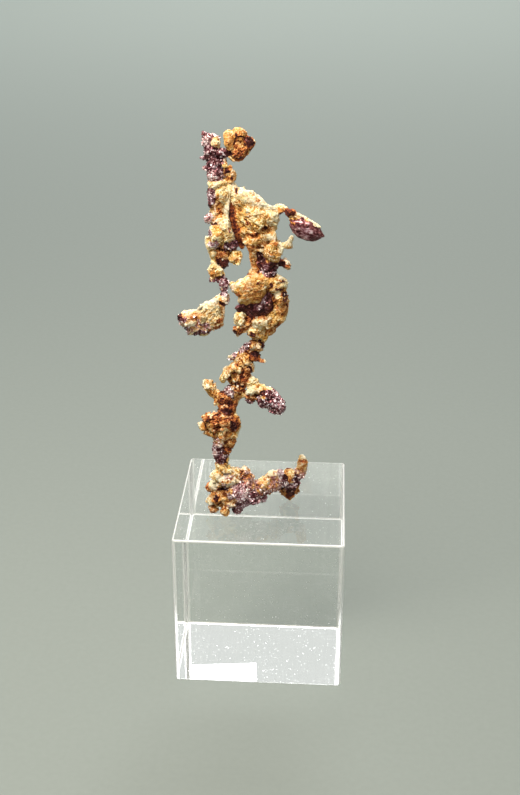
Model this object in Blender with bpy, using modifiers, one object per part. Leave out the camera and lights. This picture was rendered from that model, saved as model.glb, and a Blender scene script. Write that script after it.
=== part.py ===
"""A branching native copper nugget standing on a clear acrylic display block.

The nugget is one grown piece, split at its main forks into branches that keep a narrow gap.
Each branch is a heap of lumps and limbs, fused by a voxel remesh, roughened, thinned to flat
facets, and cut square where it meets the next branch. Lengths in the tables are millimetres;
the model is in metres, +Z up, with its origin at the centre of the block's underside.
"""

import math
import random

import bmesh
import bpy
from mathutils import Matrix, Vector

MM = 0.001

# The display block: a cube, its upright edges rounder than its level ones.
BLOCK_SIDE = 30.0
BLOCK_UPRIGHT_RADIUS = 1.0
BLOCK_LEVEL_RADIUS = 0.45

# Gaps left between one piece and the next.
REST_GAP = 0.1
FORK_GAP = 0.3

# The nugget is laid out on an upright sheet, as it looks from EYE. A lump's "back" carries it
# behind the sheet along its line of sight, so its outline from EYE stays where it was drawn.
EYE = Vector((11.1, -193.2, 143.4))
SHEET_Y = -5.0

# Surface relief and facets.
VOXEL = 0.34
RELIEF_HEIGHT = 0.5
RELIEF_SCALE = 1.4
CRYSTAL_SIDE = 1.2
CRYSTAL_DEPTH = 0.3
TRIANGLES_PER_MM2 = 3.6
MERGE_DISTANCE = 0.002

# What a lump's surface is made of.
CREAM, OCHRE, AMBER, RUST = "cream", "ochre", "amber", "rust"
PLUM, ROSE = "plum", "rose"
CRYSTALLINE = (PLUM, ROSE)

# Lumps and hollows: x, z on the sheet, back, half-sizes across, deep and high, tilt in degrees
# (anticlockwise from the front). A lump also says what covers it.
# Limbs: what covers them, then x, z, back and radius along a line.
BRANCHES = {
    "foot_cluster": {
        "main": AMBER,
        "lumps": (
            (-7.0, 39.4, 0.0, 1.2, 1.2, 1.1, 0, OCHRE),
            (-7.6, 37.7, -0.2, 1.3, 1.3, 1.2, 0, CREAM),
            (-6.1, 36.9, -0.5, 1.7, 1.4, 1.1, 0, CREAM),
            (-5.2, 37.9, 0.2, 1.1, 1.1, 1.1, 0, OCHRE),
            (-4.1, 37.8, 0.5, 1.3, 1.3, 1.2, 0, ROSE),
            (-2.8, 38.4, 0.8, 0.8, 0.9, 1.2, 10, ROSE),
            (-2.5, 36.9, 0.6, 1.2, 1.3, 1.2, -30, ROSE),
            (-9.0, 35.0, 0.2, 0.6, 0.7, 0.7, 0, OCHRE),
            (-8.2, 35.5, 0.0, 1.0, 1.0, 1.0, 0, CREAM),
            (-9.0, 32.6, 0.2, 0.8, 0.8, 0.9, 0, CREAM),
            (-8.6, 30.9, 0.3, 0.8, 0.8, 0.8, 0, OCHRE),
            (-6.6, 30.3, -0.9, 0.8, 0.8, 0.9, 0, OCHRE),
            (-7.2, 33.4, 0.0, 1.8, 1.6, 1.9, 0, AMBER),
            (-5.6, 33.9, -0.4, 1.1, 1.1, 1.3, 0, AMBER),
            (-4.4, 31.0, 0.0, 0.9, 1.0, 1.0, 0, PLUM),
            (-5.1, 32.3, -0.5, 1.2, 1.1, 1.2, 0, ROSE),
            (-4.2, 34.3, -0.6, 1.8, 1.6, 1.9, 0, ROSE),
            (-3.2, 32.3, 0.0, 1.3, 1.2, 1.0, 20, PLUM),
            (-2.0, 33.9, 0.2, 1.6, 1.5, 1.6, 20, PLUM),
            (-2.6, 35.6, 0.2, 1.4, 1.3, 1.3, 0, ROSE),
            (-4.9, 36.4, 2.2, 1.7, 1.2, 1.6, 20, ROSE),
            (-3.6, 34.2, 2.3, 1.8, 1.2, 1.3, -10, ROSE),
            (-6.8, 34.6, 1.8, 1.6, 1.3, 2.0, 0, OCHRE),
            (-0.9, 34.7, 0.7, 1.3, 1.4, 1.6, 0, AMBER),
        ),
        "limbs": (),
        "hollows": (
            (-6.9, 33.6, -1.8, 1.0, 1.0, 1.3, 20),
            (-7.5, 31.4, -1.2, 0.7, 0.8, 0.7, 0),
        ),
    },
    "foot_arm": {
        "main": PLUM,
        "lumps": (
            (-1.6, 34.2, 0.4, 1.2, 1.4, 1.5, 20, PLUM),
            (-0.4, 34.9, 0.9, 1.4, 1.4, 1.8, 0, AMBER),
            (0.2, 33.5, 0.8, 0.9, 0.9, 0.8, 30, PLUM),
            (0.3, 36.5, 1.5, 1.1, 1.0, 0.9, 20, AMBER),
            (0.9, 35.5, 1.8, 1.4, 1.3, 1.4, 30, ROSE),
            (2.2, 36.4, 3.0, 1.4, 1.3, 1.3, 20, PLUM),
            (2.1, 38.0, 3.0, 1.0, 1.0, 1.0, 30, OCHRE),
            (3.2, 38.4, 3.4, 0.7, 0.7, 0.9, 0, ROSE),
            (3.6, 37.1, 3.9, 1.3, 1.2, 1.2, 0, PLUM),
            (5.0, 37.8, 4.6, 1.3, 1.3, 1.2, 10, OCHRE),
            (5.7, 36.6, 4.8, 1.3, 1.2, 1.3, 0, ROSE),
            (5.0, 35.4, 4.9, 1.3, 0.9, 1.3, 0, RUST),
            (6.6, 38.5, 5.0, 1.0, 1.1, 1.4, -20, ROSE),
            (7.0, 40.4, 5.2, 0.95, 0.95, 1.4, -10, AMBER),
            (7.2, 41.5, 5.2, 0.7, 0.7, 0.7, 0, CREAM),
            (7.5, 39.8, 5.2, 0.6, 0.8, 1.3, 0, PLUM),
        ),
        "limbs": (
            (RUST, (4.4, 34.8, 4.9, 0.7), (5.1, 33.8, 5.0, 0.6), (5.15, 33.2, 5.0, 0.4)),
        ),
        "hollows": ((3.9, 39.0, 3.6, 0.5, 0.9, 0.5, 0),),
    },
    "lower_stem": {
        "main": RUST,
        "lumps": (
            (-4.1, 55.0, 0.7, 1.3, 1.1, 1.1, 0, RUST),
            (-5.4, 54.0, 0.6, 1.1, 1.1, 1.1, 0, ROSE),
            (-4.0, 53.7, 0.7, 0.9, 1.0, 0.8, 0, RUST),
            (-3.1, 53.9, 0.6, 0.7, 0.7, 0.7, 20, OCHRE),
            (-6.2, 53.0, 0.6, 1.3, 1.2, 1.2, 0, RUST),
            (-7.4, 52.3, 0.6, 0.9, 0.9, 0.8, 0, OCHRE),
            (-6.2, 51.4, 0.4, 1.25, 1.2, 1.0, 0, AMBER),
            (-6.3, 50.0, 0.3, 1.2, 1.2, 1.0, 0, RUST),
            (-5.0, 51.2, 0.6, 0.7, 0.9, 1.7, -12, AMBER),
            (-4.3, 52.0, 0.8, 0.4, 0.5, 1.5, -20, CREAM),
            (-6.6, 48.3, 0.0, 1.9, 1.9, 1.6, 0, RUST),
            (-8.3, 48.1, -0.2, 1.8, 1.6, 1.4, 20, RUST),
            (-9.3, 48.5, -0.2, 0.9, 0.9, 1.0, 30, OCHRE),
            (-10.1, 47.3, -0.2, 0.75, 0.6, 0.8, 0, CREAM),
            (-5.0, 47.9, 0.2, 1.25, 1.3, 1.7, 0, RUST),
            (-9.1, 46.3, 0.0, 0.8, 0.6, 0.7, 0, CREAM),
            (-7.9, 46.1, 0.0, 1.1, 0.9, 0.9, 0, OCHRE),
            (-6.0, 45.9, 0.0, 1.7, 1.5, 1.1, 0, OCHRE),
            (-5.2, 44.6, 0.2, 1.1, 1.2, 1.4, -10, AMBER),
            (-7.3, 44.5, 0.0, 1.1, 1.2, 1.4, 0, PLUM),
            (-7.4, 42.7, 0.0, 1.1, 1.2, 1.5, 0, PLUM),
            (-6.0, 42.9, 0.2, 1.0, 1.1, 1.2, 0, RUST),
            (-7.1, 41.2, 0.0, 1.2, 1.2, 1.0, 0, PLUM),
            (-7.0, 40.0, 0.0, 1.2, 1.2, 0.9, 0, OCHRE),
            (-7.4, 48.0, 1.9, 1.8, 1.2, 1.3, 15, RUST),
            (-5.6, 47.0, 2.0, 1.1, 1.0, 1.1, 0, OCHRE),
            (-6.4, 43.6, 1.5, 1.1, 0.9, 1.7, 5, PLUM),
        ),
        "limbs": (
            (
                OCHRE,
                (-6.9, 52.8, 0.8, 0.8),
                (-8.3, 53.9, 1.0, 0.85),
                (-9.2, 55.0, 1.2, 0.85),
                (-9.6, 55.8, 1.3, 0.55),
            ),
        ),
        "hollows": ((-7.5, 47.0, -1.6, 1.0, 0.8, 0.5, 10),),
    },
    "lower_lobe": {
        "main": PLUM,
        "lumps": (
            (-2.1, 56.2, 0.6, 0.8, 0.9, 0.9, 0, OCHRE),
            (-1.3, 56.2, 0.4, 0.8, 0.8, 1.0, 0, CREAM),
            (-1.2, 54.9, 0.0, 1.5, 1.2, 0.9, 15, CREAM),
            (-1.7, 53.3, 0.2, 1.2, 1.0, 0.7, -10, OCHRE),
            (-2.0, 52.7, 0.2, 0.8, 0.7, 0.6, -20, PLUM),
            (0.2, 54.3, -0.4, 1.3, 1.4, 1.0, -30, OCHRE),
            (1.2, 53.3, -0.9, 1.8, 1.6, 1.5, -40, PLUM),
            (2.4, 51.9, -1.4, 1.7, 1.5, 1.4, -50, PLUM),
            (0.3, 52.4, -0.8, 1.2, 1.2, 1.0, -40, PLUM),
            (3.0, 51.2, -1.6, 1.0, 1.0, 1.1, 0, ROSE),
        ),
        "limbs": (),
        "hollows": ((-0.6, 53.9, -1.9, 0.9, 0.7, 0.35, 10),),
    },
    "middle_stem": {
        "main": OCHRE,
        "lumps": (
            (-0.5, 66.6, 0.6, 1.3, 1.3, 1.0, 0, OCHRE),
            (1.4, 65.8, 1.0, 1.0, 1.0, 1.0, 0, AMBER),
            (-0.8, 65.3, 0.8, 1.3, 1.3, 1.2, 0, OCHRE),
            (0.5, 64.6, 1.0, 1.1, 1.1, 1.2, 0, OCHRE),
            (-0.4, 63.0, 1.0, 1.1, 1.2, 1.2, 0, AMBER),
            (-1.6, 62.2, 1.2, 1.2, 1.1, 1.3, 0, ROSE),
            (-1.2, 60.9, 1.0, 1.0, 1.1, 1.0, 0, RUST),
            (-3.2, 60.1, 1.0, 1.5, 1.4, 1.2, 20, OCHRE),
            (-2.4, 58.8, 0.8, 1.1, 1.3, 1.4, 0, OCHRE),
            (-4.3, 58.6, 0.8, 1.4, 1.5, 1.3, 30, CREAM),
            (-5.7, 57.5, 0.5, 1.3, 1.1, 1.0, 45, CREAM),
            (-6.6, 56.4, 0.3, 0.7, 0.6, 0.6, 40, CREAM),
            (-4.3, 57.2, 0.6, 1.4, 1.4, 1.1, 0, OCHRE),
            (-2.9, 57.2, 0.8, 1.2, 1.3, 1.4, 0, RUST),
            (-4.0, 55.7, 0.8, 1.4, 1.2, 1.1, 0, RUST),
            (-3.8, 58.6, 2.5, 1.4, 1.0, 1.3, 25, OCHRE),
            (-1.4, 61.9, 2.6, 0.9, 0.9, 1.0, 0, OCHRE),
        ),
        "limbs": (
            (
                ROSE,
                (-2.4, 62.8, 1.3, 0.6),
                (-3.3, 61.4, 1.4, 0.6),
                (-4.6, 60.6, 1.4, 0.5),
                (-5.4, 60.3, 1.4, 0.4),
            ),
            (RUST, (-1.0, 60.6, 0.6, 0.5), (-0.3, 60.1, 0.2, 0.4), (0.5, 60.0, 0.0, 0.35)),
        ),
        "hollows": (
            (-4.6, 56.6, -0.9, 0.7, 0.7, 0.5, 0),
            (-2.0, 59.9, -0.6, 0.5, 0.6, 0.5, 0),
        ),
    },
    "middle_mass": {
        "main": OCHRE,
        "lumps": (
            (-1.3, 75.6, 0.8, 0.9, 1.0, 0.9, 0, OCHRE),
            (0.9, 75.6, 0.5, 1.3, 1.3, 1.0, 0, PLUM),
            (-1.9, 73.4, -0.1, 2.4, 2.1, 1.7, 20, OCHRE),
            (-3.2, 72.9, -0.2, 1.4, 1.5, 1.2, 40, CREAM),
            (-4.4, 72.9, 0.0, 0.6, 0.7, 0.8, 0, CREAM),
            (-1.8, 71.5, -1.0, 2.3, 2.0, 1.2, 10, OCHRE),
            (-0.9, 69.6, 0.5, 2.4, 2.0, 1.5, 0, PLUM),
            (-3.4, 69.7, 0.2, 1.2, 0.8, 0.6, 0, PLUM),
            (0.8, 71.2, 0.6, 1.5, 1.7, 1.8, 0, PLUM),
            (0.6, 73.9, 0.4, 1.6, 1.8, 1.4, 0, OCHRE),
            (2.3, 73.4, 0.7, 1.8, 1.7, 1.7, 0, OCHRE),
            (3.0, 71.6, 0.7, 1.4, 1.6, 1.6, 0, RUST),
            (3.0, 69.4, 0.7, 1.2, 1.4, 1.5, 0, AMBER),
            (2.7, 68.2, 0.7, 1.3, 1.2, 1.3, 0, OCHRE),
            (-3.9, 67.7, 0.2, 0.9, 0.9, 1.15, 0, CREAM),
            (-3.2, 66.9, 0.6, 0.9, 0.8, 0.8, 0, CREAM),
            (-3.7, 65.6, 0.2, 1.15, 0.8, 0.55, 22, PLUM),
            (-2.5, 66.6, 0.7, 0.8, 0.8, 0.7, 30, RUST),
            (-1.7, 67.9, 0.8, 1.2, 1.1, 0.9, 0, AMBER),
            (-0.3, 67.4, 0.1, 1.3, 1.3, 1.0, 0, CREAM),
            (1.3, 67.4, 0.5, 1.5, 1.3, 1.1, 20, OCHRE),
            (-0.7, 65.7, 0.8, 1.2, 1.3, 1.1, 0, OCHRE),
            (1.3, 73.4, 3.0, 1.9, 1.4, 1.3, 25, PLUM),
            (-0.6, 71.7, 3.1, 2.1, 1.3, 1.5, -20, OCHRE),
            (1.6, 69.7, 2.6, 1.5, 1.3, 1.7, 15, OCHRE),
            (-2.4, 73.2, 2.3, 1.4, 1.2, 1.2, 10, OCHRE),
        ),
        "limbs": ((AMBER, (3.2, 68.3, 1.0, 0.8), (2.3, 66.8, 1.0, 0.75), (1.5, 65.6, 1.0, 0.75)),),
        "hollows": (
            (-1.6, 69.5, -2.0, 1.9, 1.0, 0.8, 5),
            (1.1, 71.4, -1.9, 0.6, 0.9, 1.0, 15),
        ),
    },
    "torso": {
        "main": OCHRE,
        "lumps": (
            (-4.6, 89.2, 1.5, 1.2, 1.3, 1.1, -20, CREAM),
            (-3.2, 87.9, 1.2, 1.9, 1.6, 1.8, -15, CREAM),
            (-1.2, 87.4, 1.2, 2.0, 1.5, 1.4, -30, CREAM),
            (0.8, 86.0, 1.2, 1.8, 1.4, 1.1, -30, CREAM),
            (-4.4, 86.4, 2.3, 1.2, 1.3, 2.6, 8, RUST),
            (-3.9, 83.2, 1.9, 1.2, 1.3, 2.4, 8, RUST),
            (-2.7, 85.4, 0.9, 1.7, 1.7, 2.0, 0, OCHRE),
            (-0.4, 84.6, 0.8, 2.3, 1.9, 2.0, 0, OCHRE),
            (1.3, 84.3, 1.0, 1.1, 1.4, 2.0, 0, OCHRE),
            (-2.4, 82.6, 0.8, 1.6, 1.6, 1.7, 0, OCHRE),
            (-1.1, 81.8, 0.6, 2.2, 1.7, 1.6, 0, OCHRE),
            (1.1, 82.2, 0.5, 1.2, 1.3, 0.8, 0, CREAM),
            (1.5, 79.6, -0.3, 1.7, 1.5, 1.5, 0, AMBER),
            (2.8, 79.9, 0.3, 0.75, 1.0, 1.1, 0, CREAM),
            (0.2, 78.8, 1.0, 1.2, 1.2, 1.2, 0, PLUM),
            (0.9, 77.2, 0.6, 1.6, 1.4, 1.4, 0, PLUM),
            (0.9, 75.8, 0.6, 1.3, 1.3, 1.2, 0, PLUM),
            (2.6, 77.5, 0.4, 1.0, 0.8, 0.6, 15, PLUM),
            (3.9, 77.3, 0.2, 0.7, 0.7, 0.75, 0, OCHRE),
            (2.6, 86.6, 1.0, 1.0, 0.9, 0.8, 0, CREAM),
            (-2.3, 86.8, 2.9, 1.8, 1.2, 1.7, -25, OCHRE),
            (0.1, 85.6, 2.8, 1.6, 1.2, 1.2, -35, OCHRE),
            (-0.8, 83.4, 3.0, 2.1, 1.1, 1.4, 20, PLUM),
            (0.6, 81.6, 2.4, 1.4, 1.1, 1.3, 0, OCHRE),
            (-0.2, 79.0, 2.3, 1.4, 1.1, 1.5, -10, OCHRE),
        ),
        "limbs": (
            (
                AMBER,
                (-1.8, 80.4, 0.8, 0.9),
                (-1.8, 78.6, 0.8, 0.75),
                (-1.6, 77.0, 0.8, 0.75),
                (-1.2, 75.6, 0.8, 0.9),
                (-1.0, 74.6, 0.8, 1.0),
            ),
            (OCHRE, (-3.2, 83.9, -0.6, 0.6), (-1.4, 84.6, -1.1, 0.6), (0.6, 85.2, -0.6, 0.6)),
            (CREAM, (-2.2, 82.2, -0.7, 0.5), (-0.6, 82.6, -1.0, 0.5), (1.0, 82.3, -0.8, 0.5)),
            (
                CREAM,
                (2.8, 80.4, 1.2, 0.6),
                (3.8, 80.5, 1.4, 0.6),
                (4.6, 80.9, 1.5, 0.55),
                (4.85, 81.8, 1.5, 0.4),
            ),
        ),
        "hollows": (
            (0.9, 83.5, -0.8, 0.9, 0.7, 0.6, 0),
            (-1.6, 81.2, -1.1, 0.9, 0.6, 0.5, 10),
            (-2.6, 86.3, -1.0, 0.5, 0.6, 0.9, 25),
            (0.0, 78.3, -0.9, 0.5, 0.9, 1.2, 15),
        ),
    },
    "right_blade": {
        "main": PLUM,
        "lumps": (
            (3.0, 86.3, 0.4, 0.65, 0.6, 0.55, 0, OCHRE),
            (4.5, 86.0, 0.0, 0.75, 0.7, 0.6, 0, RUST),
            (5.2, 85.0, -0.3, 0.8, 0.7, 1.0, -30, ROSE),
            (6.1, 83.5, -0.7, 1.7, 0.7, 1.4, -35, PLUM),
            (7.4, 82.8, -1.1, 1.8, 0.7, 1.5, -30, PLUM),
            (8.6, 82.5, -1.5, 1.3, 0.5, 0.9, -20, RUST),
        ),
        "limbs": (
            (CREAM, (1.6, 86.3, 1.4, 0.9), (2.8, 86.6, 0.8, 0.65), (3.6, 86.2, 0.4, 0.55)),
            (ROSE, (3.6, 86.2, 0.4, 0.55), (4.5, 86.0, 0.0, 0.6), (5.2, 85.7, 0.0, 0.45)),
            (
                CREAM,
                (5.2, 85.7, 0.0, 0.45),
                (6.5, 85.0, -0.4, 0.4),
                (7.6, 84.4, -0.8, 0.35),
                (8.8, 83.6, -1.2, 0.3),
            ),
            (RUST, (9.2, 82.5, -1.6, 0.4), (9.8, 82.1, -1.7, 0.3)),
        ),
        "hollows": ((6.6, 83.4, -1.9, 1.4, 0.5, 0.7, -30),),
    },
    "left_column": {
        "main": CREAM,
        "lumps": (
            (-7.4, 91.9, 1.8, 1.3, 1.4, 1.1, 0, ROSE),
            (-6.9, 90.3, 1.5, 1.8, 1.5, 0.9, 0, CREAM),
            (-5.0, 90.0, 1.5, 1.2, 1.3, 0.9, -20, CREAM),
            (-8.0, 88.6, 1.2, 0.75, 1.1, 1.5, 0, PLUM),
            (-8.2, 87.2, 1.0, 0.5, 0.7, 0.6, 0, PLUM),
            (-6.5, 88.9, 1.4, 1.2, 1.3, 1.2, 0, CREAM),
            (-6.8, 86.7, 1.6, 1.2, 1.2, 1.7, 0, OCHRE),
            (-8.4, 84.9, 0.8, 0.9, 0.5, 0.7, 0, ROSE),
            (-6.6, 84.6, 1.2, 1.2, 1.3, 1.2, 0, OCHRE),
            (-7.0, 82.2, 0.4, 1.9, 1.8, 1.9, 0, OCHRE),
            (-8.0, 80.7, 0.6, 1.1, 1.2, 1.1, 0, ROSE),
            (-5.3, 80.6, 0.5, 1.5, 1.3, 1.1, 0, PLUM),
            (-4.4, 78.4, 0.2, 1.1, 1.1, 1.1, 0, OCHRE),
            (-8.0, 79.0, 0.6, 0.75, 0.8, 1.2, 0, CREAM),
            (-6.3, 78.7, 0.8, 1.2, 1.1, 0.9, 0, PLUM),
            (-6.2, 77.4, 0.6, 0.8, 0.9, 0.8, 0, RUST),
            (-7.8, 77.3, 0.6, 0.7, 0.8, 1.0, 0, CREAM),
            (-7.1, 86.4, 2.9, 1.2, 1.0, 1.8, 5, OCHRE),
            (-6.6, 83.8, 2.6, 1.3, 1.1, 1.4, 0, OCHRE),
            (-7.1, 81.2, 2.2, 1.5, 1.1, 1.5, 10, PLUM),
        ),
        "limbs": (
            (
                CREAM,
                (-5.6, 88.9, 0.7, 0.75),
                (-5.7, 86.6, 0.3, 0.6),
                (-5.6, 84.5, 0.2, 0.65),
                (-5.2, 82.4, 0.2, 0.75),
            ),
        ),
        "hollows": ((-6.9, 86.4, -0.1, 0.5, 0.6, 1.2, 0), (-6.6, 80.2, -0.9, 0.5, 0.6, 0.7, 0)),
    },
    "left_lobe": {
        "main": CREAM,
        "lumps": (
            (-7.8, 77.1, 0.5, 0.65, 0.7, 1.0, 0, CREAM),
            (-7.7, 76.1, 0.4, 0.9, 0.9, 0.8, 0, OCHRE),
            (-7.6, 75.4, 0.3, 1.2, 1.0, 0.6, 0, OCHRE),
            (-6.3, 73.9, 0.2, 0.65, 0.8, 0.9, 0, ROSE),
            (-6.3, 71.1, 0.1, 0.85, 0.9, 0.9, 0, ROSE),
            (-7.3, 71.6, -0.1, 0.7, 0.7, 0.6, 35, CREAM),
            (-8.7, 69.0, -0.8, 1.5, 1.3, 1.8, 25, CREAM),
            (-8.2, 67.7, -0.9, 1.5, 1.3, 1.2, 0, CREAM),
            (-10.3, 67.9, -1.3, 1.9, 1.2, 1.2, 20, CREAM),
            (-11.8, 67.0, -1.7, 1.6, 1.0, 1.2, 15, ROSE),
            (-13.3, 67.4, -2.0, 0.8, 0.6, 0.5, -15, ROSE),
            (-12.2, 65.8, -1.7, 0.7, 0.7, 0.8, 0, ROSE),
            (-10.2, 65.8, -1.2, 1.9, 1.0, 0.8, 10, PLUM),
            (-10.1, 64.9, -1.1, 0.7, 0.6, 0.5, 0, PLUM),
            (-7.6, 66.6, -0.6, 1.1, 0.8, 0.5, 20, PLUM),
        ),
        "limbs": (
            (PLUM, (-8.4, 74.6, 0.2, 0.35), (-7.4, 74.5, 0.3, 0.45), (-6.5, 74.4, 0.3, 0.55)),
            (ROSE, (-6.3, 73.4, 0.2, 0.55), (-6.35, 72.4, 0.2, 0.5), (-6.2, 71.5, 0.2, 0.6)),
            (ROSE, (-6.5, 70.4, 0.0, 0.6), (-6.7, 68.9, -0.3, 0.55), (-6.9, 67.4, -0.5, 0.55)),
        ),
        "hollows": ((-11.0, 66.0, -2.9, 1.2, 0.6, 0.5, 10),),
    },
    "crown": {
        "main": PLUM,
        "lumps": (
            (-8.1, 97.3, 2.2, 1.15, 1.1, 1.05, 0, ROSE),
            (-7.1, 97.0, 1.6, 0.8, 0.8, 0.8, 0, CREAM),
            (-7.6, 95.7, 2.0, 1.25, 1.3, 1.1, 0, PLUM),
            (-9.1, 94.6, 2.2, 0.4, 0.4, 0.3, 0, PLUM),
            (-7.5, 94.0, 2.0, 1.3, 1.3, 1.3, 0, PLUM),
            (-8.7, 93.0, 2.0, 0.5, 0.5, 0.4, 0, PLUM),
            (-7.4, 92.2, 1.8, 1.3, 1.4, 1.3, 0, ROSE),
            (-6.9, 90.6, 1.5, 1.7, 1.5, 0.9, 0, CREAM),
            (-4.9, 97.4, 0.6, 1.25, 1.4, 1.4, 15, AMBER),
            (-3.8, 98.4, 0.8, 1.2, 1.2, 0.95, 0, AMBER),
            (-2.9, 97.0, 0.9, 1.4, 1.4, 1.25, 0, RUST),
            (-1.7, 97.4, 1.0, 0.6, 0.7, 0.55, 0, RUST),
            (-3.9, 95.3, 0.7, 1.1, 1.1, 1.0, 0, OCHRE),
            (-2.7, 96.0, 0.8, 1.0, 1.0, 0.9, 0, OCHRE),
            (-5.8, 93.9, 1.2, 0.6, 0.7, 0.6, 0, OCHRE),
            (-5.2, 92.2, 1.1, 1.0, 1.0, 1.0, 0, AMBER),
            (-4.9, 91.3, 1.3, 0.7, 0.8, 0.8, 0, OCHRE),
            (-7.0, 93.2, 3.2, 1.0, 0.9, 1.3, 0, ROSE),
            (-4.0, 97.1, 2.4, 1.2, 1.1, 1.1, 0, OCHRE),
        ),
        "limbs": (
            (ROSE, (-8.9, 97.8, 2.2, 0.6), (-9.4, 98.4, 2.3, 0.3)),
            (PLUM, (-6.8, 95.6, 1.8, 0.8), (-5.0, 95.7, 1.0, 0.7)),
        ),
        "hollows": ((-2.9, 97.3, -0.6, 0.8, 0.5, 0.6, 0),),
    },
}

# Forks: the two branches, a point x, z, back on the sheet, the way from the first to the
# second in degrees above +X, and the cut's reach each side of that line, in depth, and along it.
FORKS = (
    ("foot_cluster", "lower_stem", (-7.0, 40.4, 0.0), 90, 3.0, 6.0, 3.0),
    ("foot_cluster", "foot_arm", (-1.1, 34.7, 0.5), 15, 4.0, 6.0, 4.0),
    ("lower_stem", "middle_stem", (-4.1, 55.3, 0.7), 80, 3.0, 6.0, 2.0),
    ("middle_stem", "lower_lobe", (-2.2, 56.5, 0.5), 0, 1.6, 6.0, 1.8),
    ("lower_stem", "lower_lobe", (-2.6, 53.6, 0.5), 0, 1.8, 6.0, 1.8),
    ("middle_stem", "middle_mass", (0.4, 65.7, 0.9), 117, 3.0, 6.0, 3.0),
    ("middle_mass", "torso", (0.0, 75.4, 0.8), 90, 4.0, 9.0, 3.0),
    ("left_column", "torso", (-4.75, 85.5, 1.2), 10, 5.4, 12.0, 3.0),
    ("torso", "right_blade", (2.3, 86.5, 1.0), 5, 2.2, 6.0, 3.0),
    ("left_column", "crown", (-6.2, 91.2, 1.6), 90, 4.0, 9.0, 3.0),
    ("left_lobe", "left_column", (-7.8, 77.2, 0.5), 90, 1.4, 6.0, 2.0),
)

# Base colour, metallic and roughness of each covering.
FINISHES = {
    CREAM: ((0.80, 0.66, 0.38), 0.0, 0.85),
    OCHRE: ((0.60, 0.36, 0.12), 0.0, 0.85),
    AMBER: ((0.52, 0.24, 0.05), 0.0, 0.80),
    RUST: ((0.22, 0.08, 0.04), 0.2, 0.70),
    PLUM: ((0.16, 0.07, 0.08), 0.7, 0.40),
    ROSE: ((0.38, 0.24, 0.26), 0.7, 0.35),
}


def carried_back(x, z, back):
    """The point seen at x, z on the sheet from EYE, moved behind the sheet by back, in millimetres."""
    on_sheet = Vector((x, SHEET_Y, z))
    sight = on_sheet - EYE
    return on_sheet + sight * (back / sight.y)


def sheet_turn(degrees):
    """A turn in the sheet's plane, anticlockwise as seen from the front."""
    return Matrix.Rotation(-math.radians(degrees), 4, "Y")


def finish_material(name):
    """A Principled material with the finish's colour, metallic and roughness."""
    colour, metallic, roughness = FINISHES[name]
    material = bpy.data.materials.new(name)
    material.use_nodes = True
    shader = material.node_tree.nodes["Principled BSDF"]
    shader.inputs["Base Color"].default_value = (*colour, 1.0)
    shader.inputs["Metallic"].default_value = metallic
    shader.inputs["Roughness"].default_value = roughness
    return material


def acrylic_material():
    """Clear acrylic."""
    material = bpy.data.materials.new("clear_acrylic")
    material.use_nodes = True
    shader = material.node_tree.nodes["Principled BSDF"]
    shader.inputs["Base Color"].default_value = (1.0, 1.0, 1.0, 1.0)
    shader.inputs["Roughness"].default_value = 0.0
    shader.inputs["IOR"].default_value = 1.49
    shader.inputs["Transmission Weight"].default_value = 1.0
    return material


def add_object(name, mesh, collection):
    """A new object that holds mesh, linked to collection."""
    made = bpy.data.objects.new(name, mesh)
    collection.objects.link(made)
    return made


def mesh_from(name, bm):
    """A mesh holding what bm holds. bm is freed."""
    mesh = bpy.data.meshes.new(name)
    bm.to_mesh(mesh)
    bm.free()
    return mesh


def add_lump(bm, centre, half_sizes, tilt, subdivisions=3):
    """An ellipsoid in bm, its half-sizes across, deep and high turned by tilt in the sheet."""
    place = Matrix.Translation(centre * MM) @ sheet_turn(tilt)
    place @= Matrix.Diagonal((*(size * MM for size in half_sizes), 1.0))
    bmesh.ops.create_icosphere(bm, subdivisions=subdivisions, radius=1.0, matrix=place)


def add_limb(bm, stations):
    """A rounded stem through stations of (x, z, back, radius), as overlapping balls."""
    for near, far in zip(stations, stations[1:]):
        start, end = carried_back(*near[:3]), carried_back(*far[:3])
        steps = max(1, math.ceil((end - start).length / (0.5 * min(near[3], far[3]))))
        for step in range(steps + 1):
            share = step / steps
            radius = near[3] + (far[3] - near[3]) * share
            add_lump(bm, start.lerp(end, share), (radius,) * 3, 0, subdivisions=2)


def add_crystals(bm, centre, half_sizes, tilt, dice):
    """Small cubes growing out of a lump all round, each turned at random."""
    count = round(2.2 * sum(half_sizes))
    for _ in range(count):
        way = Vector([dice.gauss(0.0, 1.0) for _ in range(3)]).normalized()
        foot = sheet_turn(tilt) @ Vector([w * size for w, size in zip(way, half_sizes)])
        side = CRYSTAL_SIDE * dice.uniform(0.6, 1.1)
        turn = Matrix.Rotation(dice.uniform(0.0, math.pi), 4, way)
        turn @= Matrix.Rotation(dice.uniform(0.0, math.pi), 4, "X")
        place = Matrix.Translation((centre + foot - way * CRYSTAL_DEPTH * side) * MM) @ turn
        bmesh.ops.create_cube(bm, size=side * MM, matrix=place)


def heap(name, branch, dice):
    """A branch's lumps, crystals and limbs, still overlapping."""
    bm = bmesh.new()
    for x, z, back, across, deep, high, tilt, cover in branch["lumps"]:
        centre = carried_back(x, z, back)
        add_lump(bm, centre, (across, deep, high), tilt)
        if cover in CRYSTALLINE:
            add_crystals(bm, centre, (across, deep, high), tilt, dice)
    for limb in branch["limbs"]:
        add_limb(bm, limb[1:])
    return mesh_from(name, bm)


def relief_texture():
    """The lumpy noise that roughens every branch."""
    texture = bpy.data.textures.new("relief", "CLOUDS")
    texture.noise_scale = RELIEF_SCALE * MM
    texture.noise_depth = 2
    return texture


def add_cutter(name, bm, cutters):
    """An object that only cuts others, holding what bm holds."""
    cutter = add_object(name, mesh_from(name, bm), cutters)
    cutter.hide_render = True
    cutter.display_type = "WIRE"
    return cutter


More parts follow.
